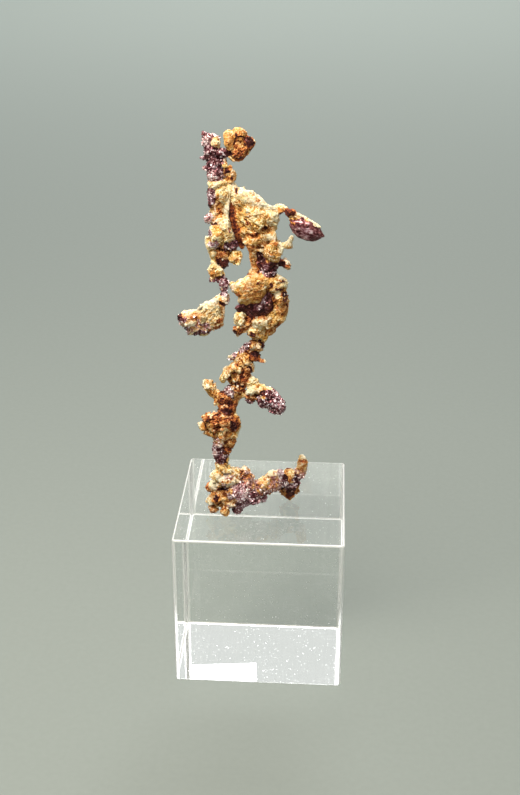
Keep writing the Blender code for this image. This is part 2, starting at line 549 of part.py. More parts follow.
def hollow_cutter(name, hollow, cutters):
    """An ellipsoid to be scooped out."""
    x, z, back, across, deep, high, tilt = hollow
    bm = bmesh.new()
    add_lump(bm, carried_back(x, z, back), (across, deep, high), tilt)
    return add_cutter(name, bm, cutters)


def fork_cutter(name, fork, side, cutters):
    """A box from just short of a fork, which cuts off what reaches over to the other branch.

    side is +1 to cut the branch before the fork, and -1 the branch after it.
    """
    (x, z, back), way, reach, deep, along = fork[2:]
    shift = Vector((side * (along - FORK_GAP) / 2, 0.0, 0.0))
    place = Matrix.Translation(carried_back(x, z, back) * MM) @ sheet_turn(way)
    place @= Matrix.Translation(shift * MM)
    place @= Matrix.Diagonal((along * MM, deep * MM, 2 * reach * MM, 1.0))
    bm = bmesh.new()
    bmesh.ops.create_cube(bm, size=1.0, matrix=place)
    return add_cutter(name, bm, cutters)


def block_cutter(cutters):
    """The space the block takes up, with the gap that the nugget keeps above it."""
    place = Matrix.Translation((0.0, 0.0, (BLOCK_SIDE / 2 + REST_GAP) * MM))
    place @= Matrix.Diagonal((2 * BLOCK_SIDE * MM, 2 * BLOCK_SIDE * MM, BLOCK_SIDE * MM, 1.0))
    bm = bmesh.new()
    bmesh.ops.create_cube(bm, size=1.0, matrix=place)
    return add_cutter("block_cutter", bm, cutters)


def cut(target, cutter):
    """Takes cutter's shape away from target."""
    boolean = target.modifiers.new(cutter.name, "BOOLEAN")
    boolean.operation = "DIFFERENCE"
    boolean.solver = "EXACT"
    boolean.object = cutter


def evaluated_mesh(obj):
    """A new mesh of obj as its modifiers leave it."""
    bpy.context.view_layer.update()
    graph = bpy.context.evaluated_depsgraph_get()
    return bpy.data.meshes.new_from_object(obj.evaluated_get(graph))


def settle(obj):
    """Keeps what obj's modifiers make of it, and drops the modifiers."""
    settled = evaluated_mesh(obj)
    settled.name = obj.name
    obj.modifiers.clear()
    obj.data = settled


def bodies_of(bm):
    """The vertices of each separate body in bm, the largest body first."""
    unseen = set(bm.verts)
    bodies = []
    while unseen:
        body = [unseen.pop()]
        for vert in body:
            near = {edge.other_vert(vert) for edge in vert.link_edges} & unseen
            unseen -= near
            body.extend(near)
        bodies.append(body)
    return sorted(bodies, key=len, reverse=True)


def tidy_body(obj):
    """Closes what a cut left open on obj, and deletes the crumbs that it left behind."""
    bm = bmesh.new()
    bm.from_mesh(obj.data)
    bmesh.ops.remove_doubles(bm, verts=bm.verts, dist=MERGE_DISTANCE * MM)
    bmesh.ops.holes_fill(bm, edges=[edge for edge in bm.edges if edge.is_boundary])
    crumbs = [vert for body in bodies_of(bm)[1:] for vert in body]
    bmesh.ops.delete(bm, geom=crumbs, context="VERTS")
    bmesh.ops.triangulate(bm, faces=bm.faces)
    bm.to_mesh(obj.data)
    bm.free()


def build_branch(name, branch, texture, dice, parts, cutters):
    """One branch: heaped, fused, scooped, roughened and thinned to flat facets."""
    obj = add_object(name, heap(name, branch, dice), parts)
    obj.data.materials.append(finish_material(branch["main"]))
    fuse = obj.modifiers.new("fuse", "REMESH")
    fuse.mode = "VOXEL"
    fuse.voxel_size = VOXEL * MM
    for count, hollow in enumerate(branch["hollows"], start=1):
        cut(obj, hollow_cutter(f"{name}_hollow_{count}", hollow, cutters))
    even = obj.modifiers.new("even_out", "REMESH")
    even.mode = "VOXEL"
    even.voxel_size = VOXEL * MM
    relief = obj.modifiers.new("relief", "DISPLACE")
    relief.texture = texture
    relief.texture_coords = "GLOBAL"
    relief.strength = RELIEF_HEIGHT * MM
    relief.mid_level = 0.5
    settle(obj)
    area = sum(face.area for face in obj.data.polygons) / MM**2
    thin = obj.modifiers.new("thin", "DECIMATE")
    thin.ratio = min(1.0, TRIANGLES_PER_MM2 * area / (2 * len(obj.data.polygons)))
    settle(obj)
    return obj


def build_block(collection):
    """The acrylic block, standing on Z = 0 under the nugget."""
    bm = bmesh.new()
    bmesh.ops.create_cube(bm, size=BLOCK_SIDE * MM)
    weight = bm.edges.layers.float.new("bevel_weight_edge")
    for edge in bm.edges:
        upright = abs(edge.verts[0].co.z - edge.verts[1].co.z) > BLOCK_SIDE * MM / 2
        edge[weight] = 1.0 if upright else 0.0
    block = add_object("acrylic_block", mesh_from("acrylic_block", bm), collection)
    block.location.z = BLOCK_SIDE * MM / 2
    upright = block.modifiers.new("round_upright_edges", "BEVEL")
    upright.limit_method = "WEIGHT"
    upright.width = BLOCK_UPRIGHT_RADIUS * MM
    upright.segments = 5
    level = block.modifiers.new("round_level_edges", "BEVEL")
    level.limit_method = "ANGLE"
    level.angle_limit = math.radians(60)
    level.width = BLOCK_LEVEL_RADIUS * MM
    level.segments = 3
    block.data.materials.append(acrylic_material())
    return block


def main():
    for old in list(bpy.data.objects):
        bpy.data.objects.remove(old)
    parts = bpy.data.collections.new("copper_nugget_on_block")
    cutters = bpy.data.collections.new("cutters")
    for collection in (parts, cutters):
        bpy.context.scene.collection.children.link(collection)
    dice = random.Random(29)
    texture = relief_texture()
    branches = {
        name: build_branch(name, branch, texture, dice, parts, cutters)
        for name, branch in BRANCHES.items()
    }
    for fork in FORKS:
        before, after = fork[:2]
        cut(branches[before], fork_cutter(f"{before}_end_at_{after}", fork, 1, cutters))
        cut(branches[after], fork_cutter(f"{after}_end_at_{before}", fork, -1, cutters))
    under_foot = block_cutter(cutters)
    for name in ("foot_cluster", "foot_arm"):
        cut(branches[name], under_foot)
    for branch in branches.values():
        settle(branch)
        tidy_body(branch)
    build_block(parts)


main()
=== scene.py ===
"""The looks of a branching native copper nugget on a clear acrylic display block.

The nugget is eleven branches. Each branch is a heap of rounded lumps and limbs, fused into one
skin, scooped, broken into plates and grained, then set with small crystals where bare metal shows.
The block is one rounded square carried upwards. Lengths in the tables are millimetres, and every
mesh is written in metres.
"""

from __future__ import annotations

import logging
import math
from dataclasses import dataclass
from enum import Enum
from functools import lru_cache

import bpy
import numpy as np
from mathutils import Matrix, Vector

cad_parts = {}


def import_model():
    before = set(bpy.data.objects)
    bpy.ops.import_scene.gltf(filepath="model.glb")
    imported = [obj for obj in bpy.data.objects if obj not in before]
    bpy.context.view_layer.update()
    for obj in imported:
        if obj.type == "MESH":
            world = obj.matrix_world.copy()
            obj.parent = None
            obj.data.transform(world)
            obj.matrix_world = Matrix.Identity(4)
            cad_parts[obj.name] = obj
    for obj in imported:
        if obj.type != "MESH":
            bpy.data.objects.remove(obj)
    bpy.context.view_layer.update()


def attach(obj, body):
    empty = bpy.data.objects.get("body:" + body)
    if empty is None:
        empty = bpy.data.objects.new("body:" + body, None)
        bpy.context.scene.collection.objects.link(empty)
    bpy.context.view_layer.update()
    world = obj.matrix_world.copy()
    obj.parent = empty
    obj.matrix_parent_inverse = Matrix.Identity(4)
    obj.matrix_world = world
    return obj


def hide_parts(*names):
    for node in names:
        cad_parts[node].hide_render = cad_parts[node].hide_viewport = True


LOG = logging.getLogger("copper_nugget")
MM = 0.001

# The nugget is laid out on an upright sheet, as it looks from EYE.
EYE = np.array((11.1, -193.2, 143.4))
SHEET_Y = -5.0
BLOCK_TOP = 30.0
REST_GAP = 0.02

BALL_RINGS, BALL_SPOKES = 17, 28
FLATS = 16

Row = tuple[float, ...]
Rows = tuple[tuple, ...]
Colour = tuple[float, float, float]


class Cover(Enum):
    """What covers a lump.

    Each holds crust, tone, relief, how thickly crystals grow, blush, and how angular it is.
    """

    WHITE = (1.0, 0.86, 0.6, 0.0, 0.45, 0.9)
    CREAM = (1.0, 0.73, 0.75, 0.0, 0.3, 0.9)
    PINK = (1.0, 0.70, 0.7, 0.0, 0.95, 0.8)
    GOLD = (1.0, 0.58, 0.9, 0.0, 0.1, 1.0)
    OCHRE = (1.0, 0.52, 0.95, 0.0, 0.45, 1.0)
    HONEY = (1.0, 0.54, 0.4, 0.0, 0.4, 0.5)
    AMBER = (1.0, 0.43, 0.5, 0.0, 0.6, 0.4)
    RUST = (0.85, 0.28, 0.95, 0.35, 0.9, 0.8)
    CLAY = (1.0, 0.1, 0.5, 0.0, 0.85, 0.9)
    UMBER = (0.4, 0.1, 0.7, 0.2, 0.9, 0.7)
    SUGAR = (1.0, 0.80, 0.9, 0.8, 0.5, 0.8)
    EARTH = (0.9, 0.42, 0.95, 0.5, 0.6, 0.8)
    SPECK = (0.5, 0.55, 1.0, 1.0, 0.6, 0.8)
    PLUM = (0.0, 0.24, 0.7, 1.0, 0.15, 0.7)
    MAUVE = (0.0, 0.42, 0.8, 1.0, 0.1, 0.7)
    ROSE = (0.0, 0.6, 0.7, 1.0, 0.35, 0.7)
    LEAF = (0.0, 0.2, 0.3, 0.0, 0.3, 0.2)
    # A painted sheen: a smooth pale lilac laid in thin streaks over dark metal, where light glances
    # off it.
    LILAC = (0.0, 0.42, 0.3, 0.0, 0.15, 0.2)

    @property
    def angular(self) -> float:
        """How far a lump is cut to flats, from 0 to 1."""
        return self.value[5]

    def kind(self, size: float) -> tuple[float, ...]:
        """The surface values, with the relief eased where the solid is thin."""
        crust, tone, relief, crystals, blush, _ = self.value
        return crust, tone, relief * min(1.0, size / THIN), crystals, blush


THIN = 1.1
(
    WHITE, CREAM, PINK, GOLD, OCHRE, HONEY, AMBER, RUST, CLAY,
    UMBER, SUGAR, EARTH, SPECK, PLUM, MAUVE, ROSE, LEAF, LILAC,
) = Cover  # fmt: skip


# ---------------------------------------------------------------- noise


@dataclass(frozen=True)
class Noise:
    """Repeatable noise in space, the same for every branch so that relief runs on across a fork."""

    seed: int = 29

    def draws(self, cells: np.ndarray, channel: int) -> np.ndarray:
        """A fixed random number for each grid cell.

        The cell's three whole numbers are multiplied by large primes, mixed and scrambled.

        Args:
            cells: whole-numbered cells, (..., 3).
            channel: which of the cell's numbers is wanted.

        Returns:
            Numbers from 0 to 1, one per cell.
        """
        whole = cells.astype(np.int64)
        mixed = whole[..., 0] * 73856093
        mixed ^= whole[..., 1] * 19349663
        mixed ^= whole[..., 2] * 83492791
        mixed ^= (self.seed * 977 + channel) * 40503
        mixed = mixed.astype(np.uint64) & np.uint64(0xFFFFFFFF)
        for _ in range(2):
            mixed = ((mixed >> np.uint64(16)) ^ mixed) * np.uint64(0x45D9F3B)
            mixed &= np.uint64(0xFFFFFFFF)
        mixed = (mixed >> np.uint64(16)) ^ mixed
        return mixed.astype(np.float64) / 4294967296.0

    def waves(self, points: np.ndarray, scale: float) -> np.ndarray:
        """Smooth gradient noise.

        Each grid corner has a random slope. A point blends what the eight corners round it give,
        by the fifth-power ease of its place between them.

        Args:
            points: places in millimetres, (n, 3).
            scale: distance between grid corners.

        Returns:
            Heights from about -1 to 1, (n,).
        """
        spots = points / scale
        base = np.floor(spots)
        inside = spots - base
        ease = inside**3 * (inside * (inside * 6 - 15) + 10)
        total = np.zeros(len(points))
        for corner in np.ndindex(2, 2, 2):
            step = np.array(corner, float)
            slope = np.stack([self.draws(base + step, axis) for axis in range(3)], -1) * 2 - 1
            share = np.prod(np.where(step > 0, ease, 1 - ease), axis=-1)
            total += share * np.sum(slope * (inside - step), axis=-1)
        return total * 1.5

    def drift(self, points: np.ndarray, scale: float, apart: float) -> np.ndarray:
        """Three waves, each taken apart from the last, that push places about, (n, 3)."""
        return np.stack([self.waves(points + apart * axis, scale) for axis in (1, 2, 3)], -1)

    def fractal(
        self, points: np.ndarray, scale: float, octaves: int = 4, gain: float = 0.5
    ) -> np.ndarray:
        """Waves at halving scales, each weaker than the last by gain.

        Args:
            points: places in millimetres, (n, 3).
            scale: the widest scale.
            octaves: how many scales are added.
            gain: strength of each scale against the one before.

        Returns:
            Heights from about -1 to 1, (n,).
        """
        total = np.zeros(len(points))
        for octave in range(octaves):
            total += gain**octave * self.waves(points + 31.7 * octave, scale / 2**octave)
        return total

    def ridged(
        self, points: np.ndarray, scale: float, octaves: int = 4, gain: float = 0.55
    ) -> np.ndarray:
        """Sharp crests: one minus the size of each wave, squared, so that zero crossings stand up.

        Args:
            points: places in millimetres, (n, 3).
            scale: the widest scale.
            octaves: how many scales are added.
            gain: strength of each scale against the one before.

        Returns:
            Heights of about 0 to 1, (n,).
        """
        total = np.zeros(len(points))
        weight = 0.0
        for octave in range(octaves):
            wave = self.waves(points + 17.3 * octave, scale / 2**octave)
            total += gain**octave * (1 - np.minimum(np.abs(wave) * 1.6, 1.0)) ** 2
            weight += gain**octave
        return total / weight

    def facets(self, points: np.ndarray, scale: float) -> tuple[np.ndarray, ...]:
        """Space broken into random cells, each with a tilted flat face.

        Every grid cell has one random seed point. A point belongs to the nearest seed, and its
        height is its offset from that seed along the seed's own random slope.

        Args:
            points: places in millimetres, (n, 3).
            scale: mean width of a cell.

        Returns:
            Height of the tilted face, distance to the cell's border, the cell's own random number,
            and squared distance from its seed, each (n,), with lengths in cell widths.
        """
        spots = points / scale
        base = np.floor(spots)
        nearest = np.full(len(points), np.inf)
        second = np.full(len(points), np.inf)
        height = np.zeros(len(points))
        number = np.zeros(len(points))
        for step in np.ndindex(3, 3, 3):
            cell = base + np.array(step, float) - 1
            seeds = cell + np.stack([self.draws(cell, 5 + axis) for axis in range(3)], -1)
            away = spots - seeds
            distance = np.sum(away**2, axis=-1)
            closer = distance < nearest
            second = np.where(closer, nearest, np.minimum(second, distance))
            nearest = np.where(closer, distance, nearest)
            slope = np.stack([self.draws(cell, 9 + axis) for axis in range(3)], -1) * 2 - 1
            height = np.where(closer, np.sum(away * slope, axis=-1), height)
            number = np.where(closer, self.draws(cell, 13), number)
        return height, np.sqrt(second) - np.sqrt(nearest), number, nearest


NOISE = Noise()


# ---------------------------------------------------------------- surfaces


@dataclass
class Skin:
    """A surface as arrays: points (n, 3) in millimetres, and faces of three or four corners."""

    points: np.ndarray
    faces: np.ndarray

    def face_normals(self) -> np.ndarray:
        """The cross product of each face's diagonals, or of two sides of a triangle."""
        corners = self.points[self.faces]
        last = corners[:, 3] if self.faces.shape[1] == 4 else corners[:, 0]
        return np.cross(corners[:, 2] - corners[:, 0], last - corners[:, 1]) / 2

    def normals(self) -> np.ndarray:
        """Unit normals at the points: the sum of the faces' area vectors that meet there."""
        across = np.repeat(self.face_normals(), self.faces.shape[1], axis=0)
        total = gathered(self.faces.ravel(), across, len(self.points))
        return total / np.maximum(np.linalg.norm(total, axis=1, keepdims=True), 1e-12)

    def neighbours_mean(self, values: np.ndarray) -> np.ndarray:
        """Each point's mean of values over the next corners of the faces round it."""
        near = np.roll(self.faces, -1, axis=1).ravel()
        counts = np.bincount(self.faces.ravel(), minlength=len(self.points))
        total = gathered(self.faces.ravel(), values[near], len(self.points))
        return (total.T / np.maximum(counts, 1)).T

    def smoothed(self, values: np.ndarray, passes: int) -> np.ndarray:
        """Values averaged with their neighbours, over and over.

        Args:
            values: one number or vector per point.
            passes: how many times.

        Returns:
            The smoothed values.
        """
        for _ in range(passes):
            values = 0.5 * (values + self.neighbours_mean(values))
        return values


def gathered(slots: np.ndarray, values: np.ndarray, count: int) -> np.ndarray:
    """Adds values into numbered slots.

    Args:
        slots: slot of each value, (n,).
        values: numbers (n,) or vectors (n, 3).
        count: how many slots there are.

    Returns:
        The sums, (count,) or (count, 3).
    """
    if values.ndim == 1:
        return np.bincount(slots, values, minlength=count)
    return np.stack([np.bincount(slots, column, minlength=count) for column in values.T], -1)


def unit(vectors: np.ndarray) -> np.ndarray:
    """The vectors, each scaled to length one."""
    return vectors / np.linalg.norm(vectors, axis=-1, keepdims=True)


def joined(skins: list[Skin]) -> Skin:
    """Several skins with faces of one kind, as one.

    Args:
        skins: skins to put together.

    Returns:
        One skin with all their points and faces.
    """
    starts = np.cumsum([0] + [len(skin.points) for skin in skins[:-1]])
    faces = [skin.faces + start for skin, start in zip(skins, starts)]
    return Skin(np.concatenate([skin.points for skin in skins]), np.concatenate(faces))


@lru_cache(maxsize=None)
def capped_rings(rings: int, spokes: int) -> np.ndarray:
    """Triangles of a tube of rings closed by a point at each end.

    Point 0 is the first end, ring points follow, and the last point is the other end.

    Args:
        rings: how many rings.
        spokes: points round each ring.

    Returns:
        Corner numbers, (m, 3).
    """
    here = np.arange(spokes)
    after = (here + 1) % spokes
    near = 1 + np.arange(rings - 1)[:, None] * spokes
    far = near + spokes
    sides = np.stack(
        [
            np.stack([near + here, near + after, far + after], -1),
            np.stack([near + here, far + after, far + here], -1),
        ]
    ).reshape(-1, 3)
    last = 1 + (rings - 1) * spokes
    start = np.stack([np.zeros(spokes, int), 1 + after, 1 + here], -1)
    end = np.stack([last + here, last + after, np.full(spokes, last + spokes)], -1)
    return np.concatenate([start, sides, end])


@lru_cache(maxsize=None)
def unit_ball(rings: int = BALL_RINGS, spokes: int = BALL_SPOKES) -> np.ndarray:
    """A ball's points by latitude and longitude: (cos v cos u, cos v sin u, sin v).

    Args:
        rings: rings between the poles.
        spokes: points round each ring.

    Returns:
        Points, (2 + rings * spokes, 3), from the lower pole up.
    """
    rise = np.linspace(-math.pi / 2, math.pi / 2, rings + 2)[1:-1, None]
    turn = np.linspace(0, 2 * math.pi, spokes, endpoint=False)[None]
    ring = np.stack(
        [np.cos(rise) * np.cos(turn), np.cos(rise) * np.sin(turn), np.sin(rise) + 0 * turn], -1
    )
    poles = np.array(((0.0, 0.0, -1.0), (0.0, 0.0, 1.0)))
    return np.concatenate([poles[:1], ring.reshape(-1, 3), poles[1:]])


def carried_back(x: np.ndarray, z: np.ndarray, back: np.ndarray) -> np.ndarray:
    """Points seen at x, z on the sheet from EYE, moved behind the sheet by back.

    Args:
        x: places across the sheet.
        z: heights on the sheet.
        back: distances behind it.

    Returns:
        Points in space, (n, 3).
    """
    on_sheet = np.stack([x, np.full_like(x, SHEET_Y), z], -1)
    sight = on_sheet - EYE
    return on_sheet + sight * (back / sight[:, 1])[:, None]


def seen_on_sheet(points: np.ndarray) -> np.ndarray:
    """Where points show on the sheet from EYE.

    Args:
        points: places in millimetres, (n, 3).

    Returns:
        x and z on the sheet, (n, 2).
    """
    reach = (SHEET_Y - EYE[1]) / (points[:, 1] - EYE[1])
    return EYE[::2] + (points[:, ::2] - EYE[::2]) * reach[:, None]


def sheet_turns(degrees: np.ndarray) -> np.ndarray:
    """Turns in the sheet's plane, anticlockwise from the front.

    Args:
        degrees: angles, (n,).

    Returns:
        Rotation matrices, (n, 3, 3).
    """
    angle = np.radians(degrees)
    turns = np.zeros((len(angle), 3, 3))
    turns[:, 0, 0] = turns[:, 2, 2] = np.cos(angle)
    turns[:, 0, 2] = -np.sin(angle)
    turns[:, 2, 0] = np.sin(angle)
    turns[:, 1, 1] = 1.0
    return turns


@dataclass
class Eggs:
    """Lumps from table rows: x, z, back, half-sizes across, deep and high, tilt, and how angular.

    Each is an ellipsoid whose radius along every direction u is cut short by flats:
    r = min over flats of d / (u . n), with n a flat's direction and d its distance.
    """

    rows: np.ndarray

    def __post_init__(self) -> None:
        """Works out centres and turns."""
        self.centres = carried_back(self.rows[:, 0], self.rows[:, 1], self.rows[:, 2])
        self.halves = self.rows[:, 3:6]
        self.turns = sheet_turns(self.rows[:, 6])

    def skin(self, dice: np.random.Generator) -> Skin:
        """All of them as closed lumps, cut to flats, stretched, turned and set in place.

        Args:
            dice: the random numbers for the flats.

        Returns:
            One skin of triangles.
        """
        ball = unit_ball()
        count = len(self.rows)
        flats = unit(dice.normal(0, 1, (count, FLATS, 3)))
        angular = self.rows[:, 7, None, None]
        distance = 1.04 - angular * dice.uniform(0.0, 0.3, (count, FLATS, 1))
        facing = np.maximum(np.einsum("nfi,bi->nfb", flats, ball), 1e-3)
        radius = np.minimum((distance / facing).min(1), 1.0 + 0.12 * angular[:, 0])
        stretched = ball[None] * radius[..., None] * self.halves[:, None]
        points = np.einsum("nij,nbj->nbi", self.turns, stretched) + self.centres[:, None]
        starts = np.arange(count)[:, None, None] * len(ball)
        faces = capped_rings(BALL_RINGS, BALL_SPOKES)[None] + starts
        return Skin(points.reshape(-1, 3), faces.reshape(-1, 3))

    def local(self, points: np.ndarray) -> np.ndarray:
        """Points in each ellipsoid's own frame, where its surface is at distance 1.

        Args:
            points: places in millimetres, (n, 3).

        Returns:
            Local places, (n, ellipsoids, 3).
        """
        away = points[:, None] - self.centres[None]
        return np.einsum("nlj,lji->nli", away, self.turns) / self.halves[None]


@dataclass
class Limb:
    """A rounded stem through stations of x, z, back and radius."""

    cover: Cover
    stations: np.ndarray

    def path(self, count: int) -> tuple[np.ndarray, np.ndarray]:
        """The stem's middle line and radii at even steps.

        Args:
            count: how many places along it.

        Returns:
            Points (count, 3) and radii (count,).
        """
        knots = carried_back(*self.stations[:, :3].T)
        at = np.linspace(0, len(knots) - 1, count)
        low = np.minimum(at.astype(int), len(knots) - 2)
        share = (at - low)[:, None]
        slope = np.gradient(knots, axis=0)
        start, end = knots[low], knots[low + 1]
        bend = (
            (2 * share**3 - 3 * share**2 + 1) * start
            + (share**3 - 2 * share**2 + share) * slope[low]
            + (3 * share**2 - 2 * share**3) * end
            + (share**3 - share**2) * slope[low + 1]
        )
        return bend, np.interp(at, np.arange(len(knots)), self.stations[:, 3])

    def skin(self) -> Skin:
        """A circle carried along the path, closed by a rounded cap at each end.

        Through each cap the circle's centre runs out by the sine of an angle and its radius
        falls by the cosine.
        """
        spokes, body, cap = 14, 5 * len(self.stations), 3
        line, radii = self.path(body)
        along = unit(np.gradient(line, axis=0))
        angle = np.linspace(0, math.pi / 2, cap + 1)[1:-1, None]
        first = line[0] - along[0] * radii[0] * np.sin(angle[::-1])
        last = line[-1] + along[-1] * radii[-1] * np.sin(angle)
        middle = np.concatenate([first, line, last])
        width = np.concatenate(
            [radii[0] * np.cos(angle[::-1, 0]), radii, radii[-1] * np.cos(angle[:, 0])]
        )
        ends = [along[:1]] * (cap - 1), [along[-1:]] * (cap - 1)
        way = np.concatenate([*ends[0], along, *ends[1]])
        side = unit(np.cross(way, np.array((0.13, 0.98, 0.16))))
        up = np.cross(side, way)
        turn = np.linspace(0, 2 * math.pi, spokes, endpoint=False)
        ring = side[:, None] * np.cos(turn)[None, :, None]
        ring = ring - up[:, None] * np.sin(turn)[None, :, None]
        rings = middle[:, None] + ring * width[:, None, None]
        tips = line[0] - along[0] * radii[0], line[-1] + along[-1] * radii[-1]
        points = np.concatenate([tips[0][None], rings.reshape(-1, 3), tips[1][None]])
        return Skin(points, capped_rings(len(middle), spokes))

    def distance(self, points: np.ndarray) -> np.ndarray:
        """Distance from the path in radii, (n,), so the stem's surface is at 1."""
        line, radii = self.path(4 * len(self.stations))
        away = np.linalg.norm(points[:, None] - line[None], axis=-1) / radii[None]
        return away.min(1)


@dataclass
class Slab:
    """A lens inside a closed outline of x, z on the sheet, swelling towards EYE and away."""

    cover: Cover
    back: float
    front: float
    rear: float
    outline: np.ndarray
    spokes: int = 44

    def __post_init__(self) -> None:
        """Walks round the outline at even steps."""
        knots = np.concatenate([self.outline, self.outline[:1]])
        at = np.linspace(0, len(self.outline), self.spokes, endpoint=False)
        ring = [np.interp(at, np.arange(len(knots)), column) for column in knots.T]
        self.ring = np.stack(ring, -1)
        self.middle = self.ring.mean(0)

    def skin(self) -> Skin:
        """The outline drawn in towards its middle by s, and lifted by sqrt(1 - s ** 2.5).

        s is the sine of an angle that runs from the rear pole to the front one.
        """
        angle = np.linspace(0, math.pi, 15)[1:-1]
        share = np.sin(angle)
        rise = np.sqrt(1 - np.minimum(share, 1) ** 2.5)
        lift = np.where(np.cos(angle) > 0, self.rear, -self.front) * rise
        flat = self.middle + share[:, None, None] * (self.ring - self.middle)
        back = self.back + np.repeat(lift, self.spokes)
        rings = carried_back(flat[..., 0].ravel(), flat[..., 1].ravel(), back)
        ends = np.array((self.back + self.rear, self.back - self.front))
        poles = carried_back(np.full(2, self.middle[0]), np.full(2, self.middle[1]), ends)
        points = np.concatenate([poles[:1], rings, poles[1:]])
        return Skin(points, capped_rings(len(angle), self.spokes))

    def distance(self, points: np.ndarray) -> np.ndarray:
        """How far out points are, where the lens's surface is at about 1.

        It joins the distance from the middle, over the outline's in that direction, with the
        depth over the swelling.
        """
        away = seen_on_sheet(points) - self.middle
        spread = self.ring - self.middle
        order = np.arctan2(spread[:, 1], spread[:, 0])
        reach = np.interp(
            np.arctan2(away[:, 1], away[:, 0]), order, np.hypot(*spread.T), period=2 * math.pi
        )
        depth = points[:, 1] - SHEET_Y - self.back
        swell = np.where(depth > 0, self.rear, self.front)
        return np.hypot(np.hypot(*away.T) / reach, depth / swell)


def mesh_of(name: str, skin: Skin, scale: float = MM) -> bpy.types.Mesh:
    """A mesh with the skin's points and faces.

    Args:
        name: the mesh's name.
        skin: what it holds.
        scale: what lengths are multiplied by.

    Returns:
        The new mesh.
    """
    mesh = bpy.data.meshes.new(name)
    corners = skin.faces.shape[1]
    mesh.vertices.add(len(skin.points))
    mesh.vertices.foreach_set("co", (skin.points * scale).astype(np.float32).ravel())
    mesh.loops.add(skin.faces.size)
    mesh.loops.foreach_set("vertex_index", skin.faces.astype(np.int32).ravel())
    mesh.polygons.add(len(skin.faces))
    mesh.polygons.foreach_set("loop_start", np.arange(0, skin.faces.size, corners, dtype=np.int32))
    mesh.update(calc_edges=True)
    return mesh


def placed(name: str, data: bpy.types.ID) -> bpy.types.Object:
    """A new object in the scene.

    Args:
        name: its name.
        data: the mesh, lamp or camera it shows.

    Returns:
        The object.
    """
    made = bpy.data.objects.new(name, data)
    bpy.context.scene.collection.objects.link(made)
    return made


def fused(skins: list[Skin], grid: float) -> Skin:
    """One closed skin round overlapping closed skins.

    Args:
        skins: closed skins of triangles.
        grid: spacing of the grid that the new skin is drawn on.

    Returns:
        A skin of four-cornered faces.
    """
    mesh = mesh_of("heap", joined(skins), scale=1.0)
    heap = placed("heap", mesh)
    fuse = heap.modifiers.new("fuse", "REMESH")
    fuse.mode = "VOXEL"
    fuse.voxel_size = grid
    bpy.context.view_layer.update()
    made = heap.evaluated_get(bpy.context.evaluated_depsgraph_get())
    result = made.to_mesh()
    points = np.empty(len(result.vertices) * 3)
    result.vertices.foreach_get("co", points)
    corners = np.empty(len(result.loops), np.int32)
    result.loops.foreach_get("vertex_index", corners)
    made.to_mesh_clear()
    bpy.data.objects.remove(heap)
    bpy.data.meshes.remove(mesh)
    return Skin(points.reshape(-1, 3), corners.reshape(-1, 4).astype(np.int64))


def triangles(skin: Skin) -> Skin:
    """The skin with each four-cornered face cut in two.

    Args:
        skin: a skin of four-cornered faces.

    Returns:
        The same surface in triangles.
    """
    return Skin(skin.points, np.concatenate([skin.faces[:, :3], skin.faces[:, [0, 2, 3]]]))


# The corners of a brick, and its six faces.
BRICK = np.array(tuple(np.ndindex(2, 2, 2)), float) * 2 - 1
BRICK_FACES = np.array(
    ((0, 1, 3, 2), (4, 6, 7, 5), (0, 4, 5, 1), (2, 3, 7, 6), (0, 2, 6, 4), (1, 5, 7, 3))
)


def smooth_step(value: np.ndarray, low: float, high: float) -> np.ndarray:
    """An eased climb from 0 at low to 1 at high.

    Args:
        value: numbers to map.
        low: where the climb starts.
        high: where it ends.

    Returns:
        Numbers from 0 to 1.
    """
    share = np.clip((value - low) / (high - low), 0, 1)
    return share * share * (3 - 2 * share)


@dataclass
class Scatter:
    """Small bricks set on a skin at random, such as crystals or flakes."""

    across: tuple[float, float]
    flatness: tuple[float, float]
    lean: float
    sunk: float
    taper: float = 0.25

    def spots(
        self, skin: Skin, density: np.ndarray, dice: np.random.Generator
    ) -> tuple[np.ndarray, np.ndarray, np.ndarray]:
        """Random places on a skin, more of them where density is high.

        Args:
            skin: what they lie on, in four-cornered faces.
            density: wanted number per square millimetre at each point.
            dice: the random numbers.

        Returns:
            The places (k, 3), the skin's normals there (k, 3) and the nearest point's number (k,).
        """
        flat = skin.face_normals()
        area = np.linalg.norm(flat, axis=1)
        wanted = area * density[skin.faces].mean(1)
        count = int(round(wanted.sum()))
        chosen = dice.choice(len(wanted), count, p=wanted / wanted.sum())
        corners = skin.faces[chosen]
        u, v = dice.random((2, count, 1))
        low = skin.points[corners[:, 0]] * (1 - u) + skin.points[corners[:, 1]] * u
        high = skin.points[corners[:, 3]] * (1 - u) + skin.points[corners[:, 2]] * u
        normal = skin.normals()[corners[:, 0]]
        return low * (1 - v) + high * v, normal, corners[:, 0]

    def bricks(self, places: np.ndarray, normals: np.ndarray, dice: np.random.Generator) -> Skin:
        """A tapered, leaning brick at each place.

        Args:
            places: where they stand, (k, 3).
            normals: which way is up there, (k, 3).
            dice: the random numbers.

        Returns:
            All the bricks as one skin, eight points each.
        """
        count = len(places)
        up = unit(normals + dice.normal(0, self.lean, (count, 3)))
        side = unit(np.cross(up, dice.normal(0, 1, (count, 3))))
        axes = np.stack([side, np.cross(up, side), up], 1)
        size = dice.uniform(*self.across, (count, 1)) * dice.uniform(0.75, 1.25, (count, 3)) / 2
        size[:, 2] *= dice.uniform(*self.flatness, count)
        corners = BRICK[None] * size[:, None]
        top = BRICK[:, 2] > 0
        pull = 1 - dice.uniform(0, self.taper, (count, 1, 2))
        corners[:, top, :2] *= pull
        corners += dice.normal(0, 0.06, corners.shape) * size[:, None]
        corners[:, :, 2] += (size[:, 2] * (1 - 2 * self.sunk))[:, None]
        points = np.einsum("kci,kij->kcj", corners, axes) + places[:, None]
        starts = np.arange(count)[:, None, None] * len(BRICK)
        return Skin(points.reshape(-1, 3), (BRICK_FACES[None] + starts).reshape(-1, 4))


